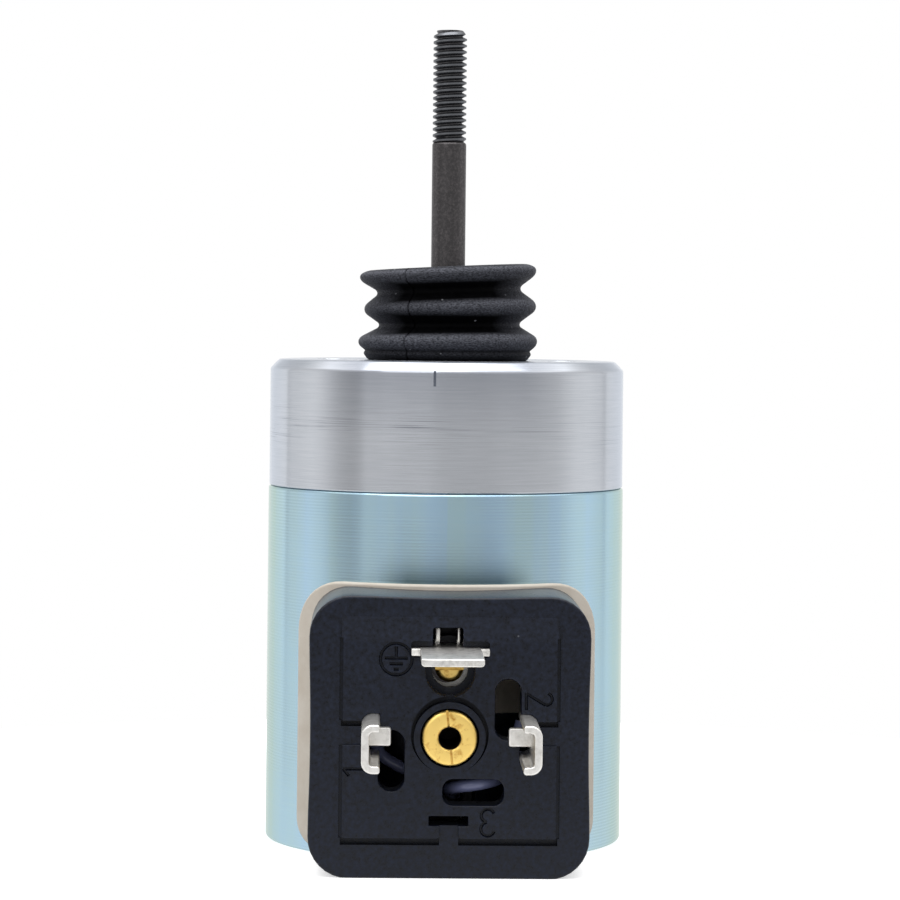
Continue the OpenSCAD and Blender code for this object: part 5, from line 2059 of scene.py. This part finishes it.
@dataclass
class CentreInsert:
    """The slit brass insert that takes the plug's screw."""

    side: PlugSide
    edge: float = 0.42
    hole_r: float = 1.2
    hole_mouth: float = 0.15
    hole_depth: float = 9.0
    mouth_round: float = 0.05
    tail_round: float = 0.2
    shoulder_round: float = 0.1
    # A thin dark sleeve in the bore that carries the painted shade of the tapped hole
    shade_lining: float = 0.06
    shade_lining_gap: float = 0.01
    shade_lining_top: float = 0.25
    shade_lining_foot: Span = (0.02, 0.3)
    slit_half: float = 4.0
    slit_w: float = 0.24
    slit_depth: float = 0.8
    slit_turn: float = math.radians(6)

    def build(self) -> list[Piece]:
        """Turns the insert and saws its slit.

        Returns:
            The insert.
        """
        side, reach = self.side, self.hole_r
        tail = -box_mm("centre_insert")[1].y
        front = side.insert_front
        bottom = front - self.hole_depth
        outline = [Corner(0, tail), Corner(side.tail_r, tail, self.tail_round),
                   Corner(side.tail_r, side.insert_shoulder),
                   Corner(side.insert_r, side.insert_shoulder, self.shoulder_round),
                   Corner(side.insert_r, front, self.edge),
                   Corner(reach + self.hole_mouth, front, self.mouth_round),
                   Corner(reach, front - self.hole_mouth), Corner(reach, bottom), Corner(0, bottom)]
        body = Solid().turn(outline, SMALL_ROUND_STEPS, closed=False).shape("brass_insert")
        slit = Solid().block((-self.slit_w / 2, -self.slit_half, front - self.slit_depth),
                             (self.slit_w / 2, self.slit_half, front + BEYOND))
        body = join(body, [slit.move(Matrix.Rotation(self.slit_turn, 4, "Z")).shape("slit")], Join.CUT)
        # A dark sleeve in the bore: painted shade of the tapped hole
        inner, outer, top = reach - self.shade_lining, reach - self.shade_lining_gap, front - self.shade_lining_top
        under, over = (bottom + rise for rise in self.shade_lining_foot)
        bore = [Corner(inner, top), Corner(outer, top), Corner(outer, under), Corner(0, under),
                Corner(0, over), Corner(inner, over)]
        shade_lining = Solid().turn(bore, SMALL_ROUND_STEPS).shape("insert_hole_shade")
        return [Piece(side.put(body), BRASS, "brass", ("centre_insert",)),
                Piece(side.put(shade_lining), HOLE_SHADE_BRASS, "brass", ())]


@dataclass
class LeadWires:
    """The insulated wires from the coil to the live contacts."""

    side: PlugSide
    radius: float = 0.65
    ring_steps: int = 4
    routes: tuple[tuple[tuple[float, float, float], ...], ...] = (((-1.0, -7.375, 17.4),
                                                                   (-1.0, -7.375, 22.2), (-1.9, -6.3, 23.8),
                                                                   (-3.2, -5.0, 24.3), (-4.8, -4.05, 24.4),
                                                                   (-6.2, -3.35, 24.4), (-7.3, -2.5, 24.6),
                                                                   (-7.9, -0.9, 25.2), (-7.9, 0.4, 25.6)),
                                                                  ((1.0, -7.375, 17.4), (1.0, -7.375, 22.2),
                                                                   (-0.3, -5.9, 26.9), (0.7, -5.4, 29.2),
                                                                   (2.6, -5.1, 30.0), (4.4, -4.85, 29.1),
                                                                   (5.9, -4.6, 27.0), (6.9, -2.0, 26.8),
                                                                   (7.65, 1.3, 26.7)))

    def build(self) -> list[Piece]:
        """Bends both wires.

        Returns:
            The left and the right wire.
        """
        made = []
        for k, route in enumerate(self.routes, 1):
            wire = Solid().pipe(route, self.radius, self.ring_steps, Line.BENT).shape(f"pvc_lead_{k}")
            made.append(Piece(self.side.put(wire), LEAD_PVC, "lead_insulation", (f"lead_wire_{k}",)))
        return made


class Lamp(NamedTuple):
    """A square soft lamp: its name, place and width in mm, and power in watts."""

    name: str
    place: tuple[float, float, float]
    size: float
    power: float


def grey(level: float) -> tuple[float, float, float, float]:
    """The linear colour of a grey, white or brighter light."""
    return level, level, level, 1.0


@dataclass
class Studio:
    """Floor, light and camera of a plain white product photograph."""

    distance: float = 402.0
    height: float = 58.8
    azimuth: float = math.radians(-0.6)
    aim_x: float = 0.276
    frame_shift: float = -0.15
    roll: float = math.radians(0.585)
    lens: float = 142.16
    sensor: float = 36.0
    near_clip: float = 10.0
    floor_r: float = 115.0
    floor_colour: str = "#f4f4f4"
    floor_bounce: str = "#a8a8a8"
    floor_reach: Span = (30.0, 100.0)
    floor_glow: Span = (0.5, 0.9)
    lights: tuple[Lamp, ...] = (Lamp("top_light", (-40, -60, 620), 580, 2.4),
                                Lamp("front_light", (-260, -520, 420), 420, 0.5))
    lights_aim: float = 40.0
    room_levels: tuple[Span, ...] = ((-127.5, 1.22), (-126.3, 0.64), (-124.5, 0.66), (-122.5, 0.9),
                                     (-112, 0.93), (-98, 1.06), (-88, 0.95), (-74, 0.62), (-64, 0.51),
                                     (-58, 0.58), (-54, 0.77), (-40, 0.69), (-26, 0.635), (-8, 0.62),
                                     (2, 0.6), (25, 0.6), (37, 0.65), (57, 0.67), (76, 0.77), (92, 1.03),
                                     (104, 1.05), (112, 0.96), (120, 0.92), (123, 0.7), (125.5, 0.7),
                                     (127, 1.12), (150, 1.15))
    back_level: float = 1.1
    ceiling_levels: tuple[Span, ...] = (
        (0.3, 0.86), (0.48, 0.88), (0.55, 0.92), (0.65, 1.2), (0.73, 1.85), (0.8, 1.6))
    ceiling_from: Span = (0.15, 0.4)
    soft_levels: Span = (0.34, 1.05)
    soft_from: Span = (-0.1, 0.8)
    low_level: float = 1.12
    low_aside: Span = (math.radians(98), math.radians(110))
    low_from: Span = (-0.075, -0.1)

    def build(self) -> None:
        """Sets up the camera, the world, the lamps and the floor."""
        scene = bpy.context.scene
        scene.view_settings.view_transform = "Standard"
        self.camera(scene)
        self.world(scene)
        self.lamps(scene)
        self.floor(scene)

    def camera(self, scene: bpy.types.Scene) -> None:
        """Stands the camera where the photograph was taken from.

        Args:
            scene: the scene that is set up.
        """
        data = bpy.data.cameras.new("camera")
        data.lens = self.lens
        data.sensor_width = self.sensor
        data.shift_y = self.frame_shift
        data.clip_start = self.near_clip * MM
        stand = Vector((math.sin(self.azimuth) * self.distance, -math.cos(self.azimuth) * self.distance,
                        self.height))
        look = (Vector((self.aim_x, 0, self.height)) - stand).to_track_quat("-Z", "Y")
        camera = bpy.data.objects.new("camera", data)
        camera.matrix_world = (Matrix.Translation(stand * MM) @ look.to_matrix().to_4x4()
                               @ Matrix.Rotation(self.roll, 4, "Z"))
        scene.collection.objects.link(camera)
        scene.camera = camera

    def world(self, scene: bpy.types.Scene) -> None:
        """Surrounds the object with a soft room: white behind and at the sides, greyer in front.

        Args:
            scene: the scene that is set up.
        """
        world = bpy.data.worlds.new("white_room")
        scene.world = world
        world.use_nodes = True
        tree = world.node_tree
        tree.nodes.clear()
        way = add_node(tree, "TexCoord").outputs["Generated"]
        split = add_node(tree, "SeparateXYZ", {"Vector": way}).outputs
        ahead = add_node(tree, "Math", {0: split["Y"], 1: -1.0}, operation="MULTIPLY")
        turn = add_node(tree, "Math", {0: split["X"], 1: ahead}, operation="ARCTAN2")
        share = add_node(tree, "MapRange", {"Value": turn, "From Min": -math.pi, "From Max": math.pi})
        around = add_node(tree, "ValToRGB", {"Fac": share})
        stops = around.color_ramp.elements
        stops[0].color = grey(self.back_level)
        stops[-1].color = grey(self.back_level)
        for angle, level in self.room_levels:
            stops.new((angle + 180) / 360).color = grey(level)
        aside = add_node(tree, "Math", {0: turn}, operation="ABSOLUTE")
        start, full = self.low_aside
        beside = add_node(tree, "MapRange", {"Value": aside, "From Min": start, "From Max": full})
        start, full = self.low_from
        below = add_node(tree, "MapRange", {"Value": split["Z"], "From Min": start, "From Max": full})
        near = add_node(tree, "Math", {0: beside, 1: below}, operation="MULTIPLY")
        walls = add_node(tree, "Mix", {0: near, MIX_A: around.outputs["Color"], MIX_B: grey(self.low_level)},
                         data_type="RGBA")
        above = add_node(tree, "ValToRGB", {"Fac": split["Z"]})
        for height, level in self.ceiling_levels:
            above.color_ramp.elements.new(height).color = grey(level)
        above.color_ramp.elements[-1].color = grey(self.ceiling_levels[-1][1])
        start, full = self.ceiling_from
        raised = add_node(tree, "MapRange", {"Value": split["Z"], "From Min": start, "From Max": full})
        sky = add_node(tree, "Mix", {0: raised, MIX_A: walls.outputs[MIX_RESULT],
                                     MIX_B: above.outputs["Color"]}, data_type="RGBA")
        path = add_node(tree, "LightPath").outputs
        room = add_node(tree, "Background", {"Color": sky.outputs[MIX_RESULT], "Strength": 1.0})
        (start, full), (low, high) = self.soft_from, self.soft_levels
        spread = add_node(tree, "MapRange", {"Value": split["Z"], "From Min": start, "From Max": full,
                                             "To Min": low, "To Max": high})
        soft = add_node(tree, "Background", {"Color": grey(1.0), "Strength": spread})
        lit = add_node(tree, "MixShader", {"Fac": path["Is Glossy Ray"], 1: soft, 2: room})
        white = add_node(tree, "Background", {"Color": grey(1.0), "Strength": 1.0})
        seen = add_node(tree, "MixShader", {"Fac": path["Is Camera Ray"], 1: lit, 2: white})
        add_node(tree, "OutputWorld", {"Surface": seen})

    def lamps(self, scene: bpy.types.Scene) -> None:
        """Hangs one large soft lamp above the object and a weaker one in front of it.

        Args:
            scene: the scene that is set up.
        """
        for lamp in self.lights:
            data = bpy.data.lights.new(lamp.name, "AREA")
            data.shape = "SQUARE"
            data.size = lamp.size * MM
            data.energy = lamp.power
            stand = Vector(lamp.place)
            aim = (Vector((0, 0, self.lights_aim)) - stand).to_track_quat("-Z", "Y")
            hung = bpy.data.objects.new(lamp.name, data)
            hung.matrix_world = Matrix.Translation(stand * MM) @ aim.to_matrix().to_4x4()
            scene.collection.objects.link(hung)

    def floor(self, scene: bpy.types.Scene) -> None:
        """Lays a pale floor that takes the object's shadow.

        Args:
            scene: the scene that is set up.
        """
        bm = bmesh.new()
        bmesh.ops.create_circle(bm, cap_ends=True, segments=SMALL_ROUND_STEPS, radius=self.floor_r * MM)
        mesh = bpy.data.meshes.new("studio_floor")
        bm.to_mesh(mesh)
        bm.free()
        floor = bpy.data.objects.new("studio_floor", mesh)
        scene.collection.objects.link(floor)
        paint = bpy.data.materials.new("white_studio_paint")
        paint.use_nodes = True
        tree = paint.node_tree
        tree.nodes.clear()
        path = add_node(tree, "LightPath").outputs
        matt = add_node(tree, "BsdfDiffuse", {"Color": linear(self.floor_colour)})
        dull = add_node(tree, "BsdfDiffuse", {"Color": linear(self.floor_bounce)})
        place = add_node(tree, "TexCoord").outputs["Object"]
        away = add_node(tree, "VectorMath", {0: place}, operation="LENGTH")
        (near, far), (dim, bright) = (reach * MM for reach in self.floor_reach), self.floor_glow
        level = add_node(tree, "MapRange", {"Value": away.outputs["Value"], "From Min": near,
                                            "From Max": far, "To Min": dim, "To Max": bright})
        glow = add_node(tree, "Emission", {"Color": grey(1.0), "Strength": level})
        lifted = add_node(tree, "AddShader", {0: matt, 1: glow})
        mirrored = add_node(tree, "Emission", {"Color": grey(1.0), "Strength": self.low_level})
        bounced = add_node(tree, "MixShader", {"Fac": path["Is Glossy Ray"], 1: dull, 2: mirrored})
        shown = add_node(tree, "MixShader", {"Fac": path["Is Camera Ray"], 1: bounced, 2: lifted})
        add_node(tree, "OutputMaterial", {"Surface": shown})
        mesh.materials.append(paint)
        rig.stage(floor)


# Nodes that keep their CAD shape
CAD_FINISHES: Mapping[str, Finish] = {
    "cap_o_ring": SEAL_RUBBER, "front_bush": BRONZE, "pole_piece": SOFT_IRON, "pole_bush": BRONZE,
    "guide_tube": BRASS_SHEET, "bobbin": SPOOL_NYLON, "coil_winding": COPPER_WIRE, "coil_wrap": COIL_TAPE,
    "wave_washer": SPRING_STEEL, "stop_pad": SEAL_RUBBER, "armature": SOFT_IRON,
    "anti_stick_shim": BRASS_SHEET, "lock_nut": SOFT_IRON, "earth_washer": BLACK_OXIDE,
    "wire_grommet": SEAL_RUBBER}


def dress_frame() -> None:
    """Gives each node that keeps its CAD shape its finish."""
    for name, finish in CAD_FINISHES.items():
        node = frame["nodes"][name]
        node.data.materials.clear()
        node.data.materials.append(finish.material())
        LOG.info("%s keeps its CAD shape, %s", name, finish.name)


def main() -> None:
    """Builds every sub-assembly, dresses the rest of the frame and notes the sizes."""
    logging.basicConfig(level=logging.INFO, format="%(message)s")
    cad_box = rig.bounds()
    side = PlugSide()
    for group in (ShellCup(side), EndCap(), Bellows(), PushRod(), ReturnSpring(), Gasket(side),
                  PlugBase(side), LiveContacts(side), EarthContact(side), CentreInsert(side),
                  LeadWires(side)):
        for piece in group.build():
            piece.settle()
    dress_frame()
    Studio().build()
    sizes = {"cad": [list(corner) for corner in cad_box], "visual": [list(corner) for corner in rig.bounds()]}
    with open(SIZE_FILE, "w", encoding="utf-8") as out:
        json.dump(sizes, out)


if __name__ == "__main__":
    main()
